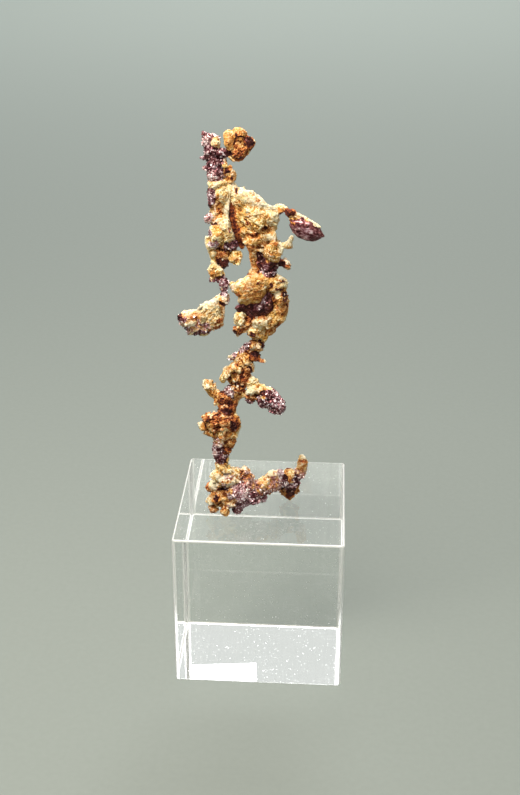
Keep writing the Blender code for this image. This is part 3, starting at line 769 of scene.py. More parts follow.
# ---------------------------------------------------------------- branches


FORM_GRID = 0.2
FORM_SWELL = 0.14  # how far the heap's gentle lumps rise
COVER_FALL = 8.0  # how fast a lump's cover gives way to its neighbour's
OPEN = 0.8  # a hollow mark above this is too deep for loose crystals

# Loose pieces on each square millimetre, where they grow thickest.
FLAKES_EACH, CRYSTALS_EACH, GRIT_EACH = 0.12, 16.0, 2.6
STRAY_GRIT = 0.06  # of that grit, the share that also lies where no crystals grow
FLAKES = Scatter(across=(0.8, 1.9), flatness=(0.16, 0.3), lean=0.4, sunk=0.6, taper=0.6)
CRYSTALS = Scatter(across=(0.11, 0.32), flatness=(0.7, 1.3), lean=0.6, sunk=0.4, taper=0.55)
GRIT = Scatter(across=(0.16, 0.5), flatness=(0.5, 0.9), lean=0.45, sunk=0.5, taper=0.5)


@dataclass
class Branch:
    """One branch of the nugget, with the tables that shape it.

    Rows of lumps are x, z, back, half-sizes across, deep and high, tilt and cover. Rows of limbs
    are a cover, then x, z, back and radius along a line. Rows of slabs are a cover, back, how far
    they swell forwards and back, then x, z round the outline. Rows of hollows are as lumps
    without a cover. Rows of stains are a cover, then x, z, radius across, radius high and tilt,
    and only colour.

    Grain is the way the ridges run and stretch how long they are for their width. Grid is the
    spacing of the fine skin. Rough scales the plates and flakes, and mottle the blotches. The
    glint share is how many loose crystals are made pale, as painted glints that show whichever
    way the light falls.
    """

    node: str = ""
    slot: str = ""
    lumps: Rows = ()
    limbs: Rows = ()
    slabs: Rows = ()
    hollows: Rows = ()
    stains: Rows = ()
    seed: int = 1
    grain: Row = (0.8, 0.0, 0.6)
    stretch: float = 1.7
    grid: float = 0.09
    rough: float = 1.0
    mottle: float = 1.0
    painted_glint_share: float = 0.26

    def shapes(self) -> tuple[Eggs, list[Limb | Slab]]:
        """The lumps, and the limbs and slabs, as solids."""
        eggs = Eggs(np.array([(*row[:7], row[7].angular) for row in self.lumps], float))
        limbs = [Limb(row[0], np.array(row[1:], float)) for row in self.limbs]
        slabs = [Slab(*row[:4], np.array(row[4:], float)) for row in self.slabs]
        return eggs, limbs + slabs

    def form(self, eggs: Eggs, others: list[Limb | Slab], dice: np.random.Generator) -> Skin:
        """The fused heap, scooped and gently lumpy.

        Args:
            eggs: the lumps.
            others: the limbs and slabs.
            dice: the random numbers for the lumps' flats.

        Returns:
            One closed skin.
        """
        skin = fused([eggs.skin(dice), *[other.skin() for other in others]], FORM_GRID)
        self.scoop(skin)
        skin.points += skin.normals() * FORM_SWELL * NOISE.fractal(skin.points, 1.9, 3)[:, None]
        return skin

    def scoop(self, skin: Skin) -> None:
        """Pushes what lies inside a hollow away from EYE until it is out of it.

        Along the line of sight s from a point q inside a unit ball, the way out is the larger root
        t of |q + t s| = 1.
        """
        for row in self.hollows:
            hollow = Eggs(np.array([(*row, 0.0)], float))
            inside = hollow.local(skin.points)[:, 0]
            sight = unit(skin.points - EYE)
            local = (sight @ hollow.turns[0]) / hollow.halves
            size = np.sum(local**2, axis=1)
            middle = np.sum(inside * local, axis=1)
            room = np.maximum(middle**2 - size * (np.sum(inside**2, axis=1) - 1), 0)
            within = np.sum(inside**2, axis=1) < 1
            way = np.where(within, (np.sqrt(room) - middle) / size, 0)
            skin.points += sight * np.minimum(way, 2.2 * hollow.halves[0, 1])[:, None]

    def covering(self, points: np.ndarray, eggs: Eggs, others: list[Limb | Slab]) -> np.ndarray:
        """What covers each point, from the solids and stains nearest to it.

        Each solid's weight falls off as exp(-k d), with d its distance in its own radii, and the
        places are first shifted by noise so that borders wander.

        Args:
            points: places in millimetres, (n, 3).
            eggs: the lumps.
            others: the limbs and slabs.

        Returns:
            Crust, tone, relief, crystals and blush at each point, (n, 5).
        """
        drift = NOISE.drift(points, 0.9, 50)
        wandered = points + 0.4 * drift
        reach = [np.linalg.norm(eggs.local(wandered), axis=-1)]
        reach += [other.distance(wandered)[:, None] for other in others]
        weight = np.exp(-COVER_FALL * np.concatenate(reach, axis=1))
        kinds = [row[7].kind(min(row[3:6])) for row in self.lumps]
        kinds += [row[0].kind(max(station[3] for station in row[1:])) for row in self.limbs]
        kinds += [row[0].kind(THIN) for row in self.slabs]
        total = weight @ np.array(kinds)
        total /= weight.sum(1, keepdims=True)
        for cover, *place in self.stains:
            share = self.stain_share(wandered, place)
            kind = np.array(cover.kind(THIN))
            kind[2] = np.minimum(kind[2], 0.9)
            total += share[:, None] * (kind - total)
        return total

    @staticmethod
    def stain_share(points: np.ndarray, stain: Row) -> np.ndarray:
        """How much of a stain each point on the front has, from its place as seen from EYE.

        Args:
            points: places in millimetres, (n, 3).
            stain: x, z, radius across, radius high and tilt on the sheet.

        Returns:
            Shares from 0 to 1, (n,).
        """
        x, z, across, high, tilt = stain
        angle = math.radians(tilt)
        right, up = (seen_on_sheet(points) - (x, z)).T
        along = (right * math.cos(angle) + up * math.sin(angle)) / across
        over = (up * math.cos(angle) - right * math.sin(angle)) / high
        return smooth_step(-np.hypot(along, over), -1.15, -0.75)

    def skinned(self) -> tuple[Skin, np.ndarray, Skin, np.ndarray]:
        """The finished skin and its crystals, each with its marks at every point."""
        dice = np.random.default_rng(self.seed)
        eggs, others = self.shapes()
        form = self.form(eggs, others, dice)
        kinds = self.covering(form.points, eggs, others)
        flaky = FLAKES_EACH * self.rough * kinds[:, 0] * kinds[:, 2]
        places, normals, _ = FLAKES.spots(form, flaky + 1e-9, dice)
        flakes = triangles(FLAKES.bricks(places, normals, dice))
        skin = fused([triangles(form), flakes], self.grid)
        kinds = self.covering(skin.points, eggs, others)
        marks = self.grained(skin, kinds)
        skin.points[:, 2] = np.maximum(skin.points[:, 2], self.rest_height())
        open_air = (marks[:, 2] < OPEN).astype(float)
        bare = CRYSTALS_EACH * kinds[:, 3] * (1 - marks[:, 0]) * open_air
        crystals, crystal_marks = self.strewn(CRYSTALS, skin, bare, marks, dice)
        crystal_marks[:, 0] = 0.0
        earthy = GRIT_EACH * (STRAY_GRIT + kinds[:, 3]) * marks[:, 0] * kinds[:, 2] * open_air
        grit, grit_marks = self.strewn(GRIT, skin, earthy, marks, dice)
        return skin, marks, joined([crystals, grit]), np.concatenate([crystal_marks, grit_marks])

    def strewn(
        self,
        scatter: Scatter,
        skin: Skin,
        density: np.ndarray,
        marks: np.ndarray,
        dice: np.random.Generator,
    ) -> tuple[Skin, np.ndarray]:
        """Loose bricks on the skin, each of one tone that strays from the skin's, some made pale as
        painted glints.

        Args:
            scatter: the kind of brick.
            skin: what they lie on.
            density: wanted number per square millimetre at each point.
            marks: crust, tone, hollow and blush at each point of the skin.
            dice: the random numbers.

        Returns:
            The bricks and the marks at each of their points.
        """
        places, normals, near = scatter.spots(skin, density + 1e-9, dice)
        bricks = scatter.bricks(places, normals, dice)
        bricks.points[:, 2] = np.maximum(bricks.points[:, 2], self.rest_height())
        own = marks[near].copy()
        # Painted glints: a share of the loose bricks is given a much paler tone, so that they show
        # as bright specks whichever way the light falls.
        chosen = dice.random(len(near)) < self.painted_glint_share
        bright = chosen * dice.uniform(0.35, 0.85, len(near)) * (1 - 0.6 * own[:, 0])
        stray = dice.normal(0, 0.1, len(near)) * (1 + 0.5 * own[:, 0])
        own[:, 1] = np.clip(own[:, 1] - 0.06 + stray + bright, 0, 1)
        own[:, 2] *= 0.4
        return bricks, np.repeat(own, len(BRICK), axis=0)

    @staticmethod
    def rest_height() -> float:
        """The lowest any part of the nugget reaches, just over the block."""
        return BLOCK_TOP + REST_GAP

    def grained(self, skin: Skin, kinds: np.ndarray) -> np.ndarray:
        """Breaks the skin into plates, bowls, ridges, pits and grains, and works out its marks.

        Args:
            skin: the fine skin, whose points are moved.
            kinds: crust, tone, relief, crystals and blush at each point.

        Returns:
            Crust, tone, hollow and blush at each point, (n, 4).
        """
        points = skin.points
        patch = NOISE.fractal(points + 7, 0.8, 3)
        drift = NOISE.drift(points, 1.3, 20)
        warped = points + 0.4 * drift
        crust = smooth_step(kinds[:, 0] + 0.22 * patch, 0.38, 0.62)
        plates, seam, number, bowl = NOISE.facets(warped, 1.9)
        shards, split, second, dish = NOISE.facets(warped + 40, 0.85)
        chips, _, third, cup = NOISE.facets(points + 70, 0.38)
        ridges = self.crumpled(points, 1.05)
        pits = smooth_step(NOISE.fractal(points + 60, 0.7, 3), 0.3, 0.75)
        grains, gap, spark, _ = NOISE.facets(points + 90, 0.3)
        rough, bare = kinds[:, 2], 1 - kinds[:, 3]
        lines = self.crumpled(points, 0.5)
        coarse = 0.34 * plates + 0.14 * bowl + 0.13 * shards + 0.05 * dish
        coarse = coarse + 0.24 * (ridges - 0.3) - 0.08
        wide_cracks = 1 - smooth_step(seam, 0.0, 0.16)
        cracks = np.maximum(wide_cracks, 0.8 - 0.8 * smooth_step(split, 0.0, 0.12))
        cracks *= smooth_step(patch, -0.6, 0.3) * smooth_step(rough, 0.1, 0.9)
        coarse -= 0.08 * pits + 0.1 * cracks
        fine = 0.12 * chips + 0.05 * cup + 0.2 * (lines - 0.35)
        on_metal = 0.1 * grains + 0.08 * smooth_step(gap, 0, 0.3) - 0.06
        on_metal += 0.25 * bare * (ridges - 0.35)
        lift = rough * (crust * (self.rough * coarse + fine) + (1 - crust) * on_metal)
        skin.points = points + skin.normals() * lift[:, None]
        normals = skin.normals()
        near = skin.smoothed(skin.points, 4)
        wide = skin.smoothed(near, 60)
        dip = np.sum((near - skin.points) * normals, axis=1)
        sag = np.sum((wide - skin.points) * normals, axis=1)
        # Hollow is high where the skin is sunk. Below, it darkens the tone, partly for the dirt
        # that lies in crevices and partly as painted shade.
        hollow = np.clip(0.5 + 1.6 * sag + 4.5 * dip, 0, 1)
        tone = kinds[:, 1] + 0.17 * self.mottle * NOISE.fractal(points + 3, 1.9, 4)
        # Painted light: the crust's tone is also lifted where the skin faces up, as if lit from
        # above.
        tone_crust = tone + 0.6 * (0.5 - hollow) + 0.06 * normals[:, 2] + 0.05
        spots = 0.12 * (number - 0.5) + 0.14 * (second - 0.5) + 0.18 * (third - 0.5)
        # The crests of the ridged lines are lightened, partly as the crust's paler crests and
        # partly as painted highlight.
        tone_crust += self.mottle * (spots - 0.15 * cracks) + 0.35 * (lines - 0.4)
        # On bare metal, hollows are darkened partly as dirt and partly as painted shade, and crests
        # are lightened as painted highlight.
        tone_metal = tone + 0.3 * (spark - 0.5) + 0.3 * (0.5 - hollow)
        tone_metal += bare * (0.35 * (ridges - 0.35) + 0.45 * (lines - 0.4) - 0.9 * kinds[:, 0])
        tone = crust * tone_crust + (1 - crust) * tone_metal
        blush = kinds[:, 4] + 0.3 * NOISE.fractal(points + 13, 1.4, 3) + 0.25 * (second - 0.5)
        return np.stack([crust, np.clip(tone, 0, 1), hollow, np.clip(blush, 0, 1)], -1)

    def crumpled(self, points: np.ndarray, scale: float) -> np.ndarray:
        """Long wandering ridges: ridged noise squeezed along the branch's grain and warped.

        Args:
            points: places in millimetres, (n, 3).
            scale: distance between ridges.

        Returns:
            Heights of about 0 to 1, (n,).
        """
        along = np.array(self.grain) / np.linalg.norm(self.grain)
        shift = (1 - 1 / self.stretch) * (points @ along)
        drift = NOISE.drift(points, 1.5, 20)
        return NOISE.ridged(points - shift[:, None] * along + 0.55 * drift, scale, 4, 0.6)

    def build(self, skin_material: bpy.types.Material) -> bpy.types.Object:
        """Builds the branch, dresses it and sets it in place of its solid.

        Args:
            skin_material: the material that reads the marks.

        Returns:
            The branch's object.
        """
        skin, marks, crystals, crystal_marks = self.skinned()
        whole = joined([skin, crystals])
        mesh = mesh_of(self.node, whole)
        smooth = np.zeros(len(whole.faces), bool)
        smooth[: len(skin.faces)] = True
        mesh.polygons.foreach_set("use_smooth", smooth)
        values = np.concatenate([marks, crystal_marks]).astype(np.float32)
        for column, name in enumerate(("crust", "tone", "hollow", "blush")):
            attribute = mesh.attributes.new(name, "FLOAT", "POINT")
            attribute.data.foreach_set("value", np.ascontiguousarray(values[:, column]))
        mesh.materials.append(skin_material)
        made = placed(f"{self.node}_skin", mesh)
        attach(made, "root")
        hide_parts(self.node)
        loose = len(crystals.faces) // len(BRICK_FACES)
        LOG.info("%s: %d faces, %d crystals", self.node, len(whole.faces), loose)
        return made


# Rows stand several to a line below.
# fmt: off


@dataclass
class FootCluster(Branch):
    """The granular foot: a white cap on the left, an orange hollow and a sparkling shoulder."""

    node: str = "foot_cluster"
    slot: str = "brown_crust"
    seed: int = 11
    rough: float = 0.7
    mottle: float = 1.3
    lumps: Rows = (
        (-7, 39.4, 0, 1.2, 1.2, 1.1, 0, GOLD), (-7.6, 37.7, -0.2, 1.3, 1.3, 1.2, 0, SUGAR),
        (-6.1, 36.9, -0.5, 1.7, 1.4, 1.1, 0, SUGAR), (-5.2, 37.9, 0.2, 1.1, 1.1, 1.1, 0, SUGAR),
        (-4.1, 37.8, 0.5, 1.3, 1.3, 1.2, 0, SPECK), (-2.8, 38.4, 0.8, 0.8, 0.9, 1.2, 10, SPECK),
        (-2.5, 36.9, 0.6, 1.2, 1.3, 1.2, -30, SPECK), (-9.2, 35, 0.2, 0.6, 0.7, 0.8, 0, RUST),
        (-8.2, 35.5, 0, 1, 1, 1, 0, SUGAR), (-9, 32.6, 0.2, 0.8, 0.8, 1, 0, SUGAR),
        (-8.6, 30.9, 0.3, 0.8, 0.8, 0.8, 0, EARTH), (-6.6, 30.3, -0.9, 0.8, 0.8, 0.9, 0, EARTH),
        (-7.2, 33.4, 0, 1.8, 1.6, 1.9, 0, EARTH), (-5.6, 33.9, -0.4, 1.1, 1.1, 1.3, 0, SPECK),
        (-4.4, 31, 0, 0.9, 1, 1, 0, PLUM), (-5.1, 32.3, -0.5, 1.2, 1.1, 1.2, 0, SPECK),
        (-4.2, 34.3, -0.6, 1.8, 1.6, 1.9, 0, ROSE), (-3.2, 32.3, 0, 1.3, 1.2, 1, 20, MAUVE),
        (-2, 33.9, 0.2, 1.6, 1.5, 1.6, 20, MAUVE), (-2.6, 35.6, 0.2, 1.4, 1.3, 1.3, 0, SPECK),
        (-4.9, 36.4, 2.2, 1.7, 1.2, 1.6, 20, MAUVE), (-3.6, 34.2, 2.3, 1.8, 1.2, 1.3, -10, ROSE),
        (-6.8, 34.6, 1.8, 1.6, 1.3, 2, 0, OCHRE), (-0.9, 34.7, 0.7, 1.3, 1.4, 1.6, 0, SPECK),
    )
    hollows: Rows = (
        (-6.9, 33.6, -1.8, 1.1, 1, 1.3, 20), (-7.5, 31.4, -1.2, 0.7, 0.8, 0.7, 0),
    )
    stains: Rows = (
        (WHITE, -7.7, 37.3, 0.8, 0.7, 0), (SPECK, -5.6, 37.2, 1.2, 1, 0),
        (SPECK, -6.6, 36.2, 0.8, 0.4, 20), (GOLD, -6.8, 39.3, 1.1, 0.6, 0),
        (PINK, -4.6, 37.5, 0.8, 0.4, 30), (UMBER, -6.8, 34.8, 1.4, 0.4, 5),
        (AMBER, -6.7, 33.3, 1.5, 0.4, 60), (AMBER, -5.5, 34.5, 0.5, 0.6, 0),
        (UMBER, -8.1, 33.1, 0.4, 0.9, 10), (PINK, -5, 32.1, 0.8, 0.6, 20),
        (GOLD, -4.4, 38.6, 0.6, 0.4, 0), (PINK, -3, 39.2, 0.8, 0.4, 0),
        (RUST, -2.2, 37.7, 0.5, 0.5, 0), (RUST, -8.5, 30.5, 0.7, 0.5, 0),
    )


@dataclass
class FootArm(Branch):
    """The arm that runs right from the foot, with an upturned tip and a pointed prop."""

    node: str = "foot_arm"
    slot: str = "purple_copper"
    seed: int = 12
    rough: float = 0.7
    mottle: float = 1.2
    lumps: Rows = (
        (-1.6, 34.2, 0.4, 1.2, 1.4, 1.5, 20, PLUM), (-0.4, 34.9, 0.9, 1.4, 1.4, 1.8, 0, SPECK),
        (0.2, 33.5, 0.8, 0.9, 0.9, 0.8, 30, MAUVE), (0.3, 36.5, 1.5, 1.1, 1, 0.9, 20, OCHRE),
        (0.9, 35.5, 1.8, 1.4, 1.3, 1.4, 30, SPECK), (2.2, 36.4, 3, 1.4, 1.3, 1.3, 20, SPECK),
        (2.1, 38, 3, 1, 1, 1, 30, SPECK), (3.2, 38.4, 3.4, 0.7, 0.7, 0.9, 0, ROSE),
        (3.6, 37.1, 3.9, 1.3, 1.2, 1.2, 0, PLUM), (5, 37.8, 4.6, 1.3, 1.3, 1.2, 10, EARTH),
        (5.7, 36.6, 4.8, 1.3, 1.2, 1.3, 0, PLUM), (6.6, 38.5, 5, 1, 1.1, 1.4, -20, SPECK),
        (7, 40.4, 5.2, 0.95, 0.95, 1.4, -10, EARTH), (7.2, 41.5, 5.2, 0.7, 0.7, 0.7, 0, SUGAR),
        (7.5, 39.8, 5.2, 0.6, 0.8, 1.3, 0, SPECK),
    )
    slabs: Rows = (
        (
            RUST, 4.9, 0.9, 0.9, (3.7, 34.3), (4, 35.6), (4.8, 36.4), (6.4, 36.4), (6.7, 35.6),
            (6.2, 34.7), (5.7, 33.7), (5.2, 32.95), (4.5, 33.5),
        ),
    )
    hollows: Rows = (
        (3.9, 39, 3.6, 0.5, 0.9, 0.5, 0),
    )
    stains: Rows = (
        (GOLD, 4.9, 38.4, 1.1, 0.5, 10), (AMBER, 0, 36.4, 0.8, 0.3, 45),
        (AMBER, -0.4, 34.6, 0.8, 0.3, -60), (CREAM, 1.4, 38.4, 0.6, 0.6, 0),
        (PINK, 2.5, 39.1, 0.6, 0.4, 0), (UMBER, 4.1, 37.7, 0.4, 0.7, 0),
        (AMBER, 6.7, 40.2, 0.9, 0.9, 0), (RUST, 7.3, 40.9, 0.6, 0.4, 0),
        (WHITE, 7.1, 41.8, 0.4, 0.3, 0), (ROSE, 4.9, 34.7, 0.4, 0.3, 0),
        (AMBER, 6.4, 35.6, 0.3, 0.8, -25), (UMBER, 5.2, 34.9, 0.8, 1.2, -10),
        (ROSE, 5, 36, 1, 0.6, 0), (PLUM, 6.3, 37.5, 0.8, 0.5, 0),
    )


@dataclass
class LowerStem(Branch):
    """The lower stem: a knob with pale rims, a waist and a finger pointing up left."""

    node: str = "lower_stem"
    slot: str = "brown_crust"
    seed: int = 13
    rough: float = 0.7
    mottle: float = 1.1
    lumps: Rows = (
        (-4.1, 55, 0.7, 1.3, 1.1, 1.1, 0, RUST), (-5.4, 54, 0.6, 1.1, 1.1, 1.1, 0, ROSE),
        (-4, 53.7, 0.7, 0.9, 1, 0.8, 0, OCHRE), (-3.1, 53.9, 0.6, 0.7, 0.7, 0.7, 20, GOLD),
        (-6.2, 53, 0.6, 1.3, 1.2, 1.2, 0, RUST), (-7.4, 52.3, 0.6, 0.9, 0.9, 0.8, 0, RUST),
        (-6.2, 51.4, 0.4, 1.25, 1.2, 1, 0, RUST), (-6.3, 50, 0.3, 1.2, 1.2, 1, 0, RUST),
        (-5, 51.2, 0.6, 0.7, 0.9, 1.7, -12, RUST), (-6.6, 48.3, 0, 1.9, 1.9, 1.6, 0, RUST),
        (-8.3, 48.1, -0.2, 1.8, 1.6, 1.4, 20, RUST), (-9.3, 48.5, -0.2, 0.9, 0.9, 1, 30, EARTH),
        (-10.1, 47.3, -0.2, 0.75, 0.6, 0.8, 0, CREAM), (-5, 47.9, 0.2, 1.25, 1.3, 1.7, 0, RUST),
        (-9.1, 46.3, 0, 0.8, 0.6, 0.7, 0, EARTH), (-7.9, 46.1, 0, 1.1, 0.9, 0.9, 0, RUST),
        (-6, 45.9, 0, 1.7, 1.5, 1.1, 0, EARTH), (-5.5, 44.6, 0.2, 1, 1.2, 1.3, -10, RUST),
        (-7.3, 44.5, 0, 1.1, 1.2, 1.4, 0, SPECK), (-7.4, 42.7, 0, 1.1, 1.2, 1.5, 0, PLUM),
        (-6.2, 42.9, 0.2, 0.9, 1.1, 1.1, 0, RUST), (-7.1, 41.2, 0, 1.2, 1.2, 1, 0, PLUM),
        (-7, 40, 0, 1.2, 1.2, 0.9, 0, OCHRE), (-7.4, 48, 1.9, 1.8, 1.2, 1.3, 15, RUST),
        (-5.6, 47, 2, 1.1, 1, 1.1, 0, OCHRE), (-6.4, 43.6, 1.5, 1.1, 0.9, 1.7, 5, PLUM),
    )
    limbs: Rows = (
        (
            OCHRE, (-6.9, 52.8, 0.8, 0.8), (-8.3, 53.9, 1, 0.85), (-9.2, 55, 1.2, 0.85),
            (-9.6, 55.8, 1.3, 0.55),
        ),
        (
            CREAM, (-3.9, 53.2, 0.7, 0.4), (-4.4, 51.8, 0.7, 0.35), (-4.7, 50.4, 0.5, 0.35),
            (-4.6, 49.3, 0.3, 0.4),
        ),
        (CREAM, (-4.5, 49, 0.1, 0.4), (-4.1, 48.2, 0, 0.4), (-4, 47, 0, 0.4), (-4.6, 45.8, 0, 0.4)),
    )
    hollows: Rows = (
        (-7.5, 47, -1.6, 1, 0.8, 0.5, 10),
    )
    stains: Rows = (
        (CREAM, -9.6, 55.3, 0.5, 0.9, 30), (AMBER, -8.1, 53.5, 0.6, 0.4, -45),
        (PINK, -6.3, 51.2, 0.8, 0.25, 0), (CREAM, -7.8, 51.4, 0.4, 0.4, 0),
        (ROSE, -5.2, 53.9, 0.8, 0.6, 0), (UMBER, -6.2, 50.3, 1.1, 0.5, 0),
        (WHITE, -8.8, 49.5, 0.7, 0.35, -10), (PINK, -6.2, 49.3, 1.5, 0.22, 0),
        (RUST, -6.6, 47.9, 1.9, 0.9, 5), (UMBER, -4.9, 47.6, 0.6, 1, 0),
        (AMBER, -8.9, 47.2, 0.9, 0.5, 40), (CREAM, -7.2, 46, 0.8, 0.4, 20),
        (CREAM, -8.8, 46.2, 0.3, 0.7, 15), (CREAM, -6.3, 46.7, 0.4, 0.4, 0),
        (CREAM, -4.8, 45.8, 0.7, 0.35, 0), (CREAM, -7.6, 45.4, 0.7, 0.35, 15),
        (PINK, -6.7, 44.3, 0.25, 0.7, 20), (AMBER, -5.3, 44, 0.8, 0.8, 0),
        (ROSE, -8.3, 42, 0.35, 1, 0), (CREAM, -5.8, 40.9, 0.5, 0.6, 0),
    )


@dataclass
class LowerLobe(Branch):
    """The glittering dark lobe that leans out to the lower right, under a pale wedge."""

    node: str = "lower_lobe"
    slot: str = "purple_copper"
    seed: int = 14
    rough: float = 0.8
    # This lobe gets more painted glints.
    painted_glint_share: float = 0.42
    lumps: Rows = (
        (-2.1, 56.2, 0.6, 0.7, 0.9, 0.8, 0, OCHRE), (-1.3, 55.8, 0.4, 0.8, 0.8, 0.9, 0, CREAM),
        (-1.2, 54.9, 0, 1.5, 1.2, 0.9, 15, CREAM), (-1.7, 53.3, 0.2, 1.2, 1, 0.7, -10, RUST),
        (-2, 52.7, 0.2, 0.8, 0.7, 0.6, -20, PLUM), (0.2, 54.3, -0.4, 1.3, 1.4, 1, -30, OCHRE),
        (1.2, 53.3, -0.9, 1.8, 1.6, 1.5, -40, PLUM), (2.4, 51.9, -1.4, 1.7, 1.5, 1.4, -50, PLUM),
        (0.3, 52.4, -0.8, 1.2, 1.2, 1, -40, PLUM), (3, 51.2, -1.6, 1, 1, 1.1, 0, PLUM),
    )
    slabs: Rows = (
        (
            CREAM, 0.2, 0.7, 0.7, (-1.9, 57.2), (-1.1, 57), (-0.8, 56.4), (-0.5, 55.5),
            (-1.2, 54.9), (-2.3, 55), (-2.6, 55.5), (-2.2, 56.2),
        ),
        (
            WHITE, -0.5, 0.7, 0.7, (-2.9, 53.9), (-2.2, 54.6), (-1.2, 55), (-0.4, 54.8), (-0.8, 54),
            (-1.6, 53.5), (-2.5, 53.5),
        ),
    )
    hollows: Rows = (
        (-0.6, 53.5, -1.7, 0.9, 0.7, 0.35, 10),
    )
    stains: Rows = (
        (OCHRE, 0.2, 54.9, 1.1, 0.3, -5), (CREAM, 1.2, 55, 0.9, 0.25, -20),
        (UMBER, 0.3, 53.6, 0.7, 0.7, 0), (AMBER, 0.3, 53, 0.4, 0.3, 0),
        (GOLD, -1.7, 55.6, 0.7, 0.5, 0), (ROSE, 2.3, 54.1, 0.9, 0.3, -40),
        (MAUVE, 3.1, 51.6, 1, 1.7, 40),
    )


@dataclass
class MiddleStem(Branch):
    """The narrow middle stem, knotted all the way up."""

    node: str = "middle_stem"
    slot: str = "ochre_crust"
    seed: int = 15
    rough: float = 0.75
    mottle: float = 1.1
    lumps: Rows = (
        (-0.5, 66.6, 0.6, 1.3, 1.3, 1, 0, CREAM), (1.4, 65.8, 1, 1, 1, 1, 0, AMBER),
        (-0.8, 65.3, 0.8, 1.3, 1.3, 1.2, 0, OCHRE), (0.2, 64.7, 1, 0.9, 1.1, 1.1, 0, GOLD),
        (-0.7, 63, 1, 1, 1.2, 1.2, 0, EARTH), (-1.6, 62.2, 1.2, 1.2, 1.1, 1.3, 0, RUST),
        (-1.2, 60.9, 1, 1, 1.1, 1, 0, RUST), (-3.2, 60.1, 1, 1.5, 1.4, 1.2, 20, OCHRE),
        (-2.4, 58.8, 0.8, 1.1, 1.3, 1.4, 0, EARTH), (-4.3, 58.6, 0.8, 1.4, 1.5, 1.3, 30, OCHRE),
        (-5.7, 57.5, 0.5, 1.3, 1.1, 1, 45, OCHRE), (-6.6, 56.4, 0.3, 0.7, 0.6, 0.6, 40, GOLD),
        (-4.3, 57.2, 0.6, 1.4, 1.4, 1.1, 0, EARTH), (-2.9, 57.2, 0.8, 1.2, 1.3, 1.4, 0, EARTH),
        (-4, 55.7, 0.8, 1.4, 1.2, 1.1, 0, RUST), (-3.8, 58.6, 2.5, 1.4, 1, 1.3, 25, OCHRE),
        (-1.4, 61.9, 2.6, 0.9, 0.9, 1, 0, OCHRE),
    )
    limbs: Rows = (
        (
            ROSE, (-2.4, 62.8, 1.3, 0.6), (-3.3, 61.4, 1.4, 0.6), (-4.6, 60.7, 1.4, 0.5),
            (-5.5, 60.4, 1.4, 0.4),
        ),
        (RUST, (-1, 60.6, 0.6, 0.5), (-0.3, 60.1, 0.2, 0.4), (0.5, 60, 0, 0.35)),
    )
    hollows: Rows = (
        (-4.6, 56.6, -0.9, 0.7, 0.7, 0.5, 0), (-2, 59.9, -0.6, 0.5, 0.6, 0.5, 0),
    )
    stains: Rows = (
        (UMBER, -0.3, 63.5, 0.5, 0.5, 20), (UMBER, -1.5, 64.7, 0.4, 0.5, 0),
        (UMBER, 0.1, 62.8, 0.4, 0.5, 0), (PLUM, -2.6, 62.5, 0.5, 0.9, -30),
        (PINK, -1.6, 62, 0.6, 0.25, 40), (UMBER, -1, 61.2, 0.5, 0.5, 0),
        (WHITE, 0.5, 60.1, 0.3, 0.3, 0), (WHITE, -5.3, 60.6, 0.6, 0.3, 10),
        (UMBER, -2.2, 58.5, 0.5, 0.7, 0), (RUST, -4.1, 59.3, 0.3, 0.5, 0),
        (RUST, -5.5, 56.8, 0.5, 0.35, -20), (RUST, -4.4, 57.4, 0.4, 0.3, 0),
        (RUST, -2.9, 57.3, 0.9, 1.3, 0), (GOLD, -6.1, 57.2, 1, 0.5, 50),
        (UMBER, -4, 55.2, 1.2, 0.45, 0),
    )


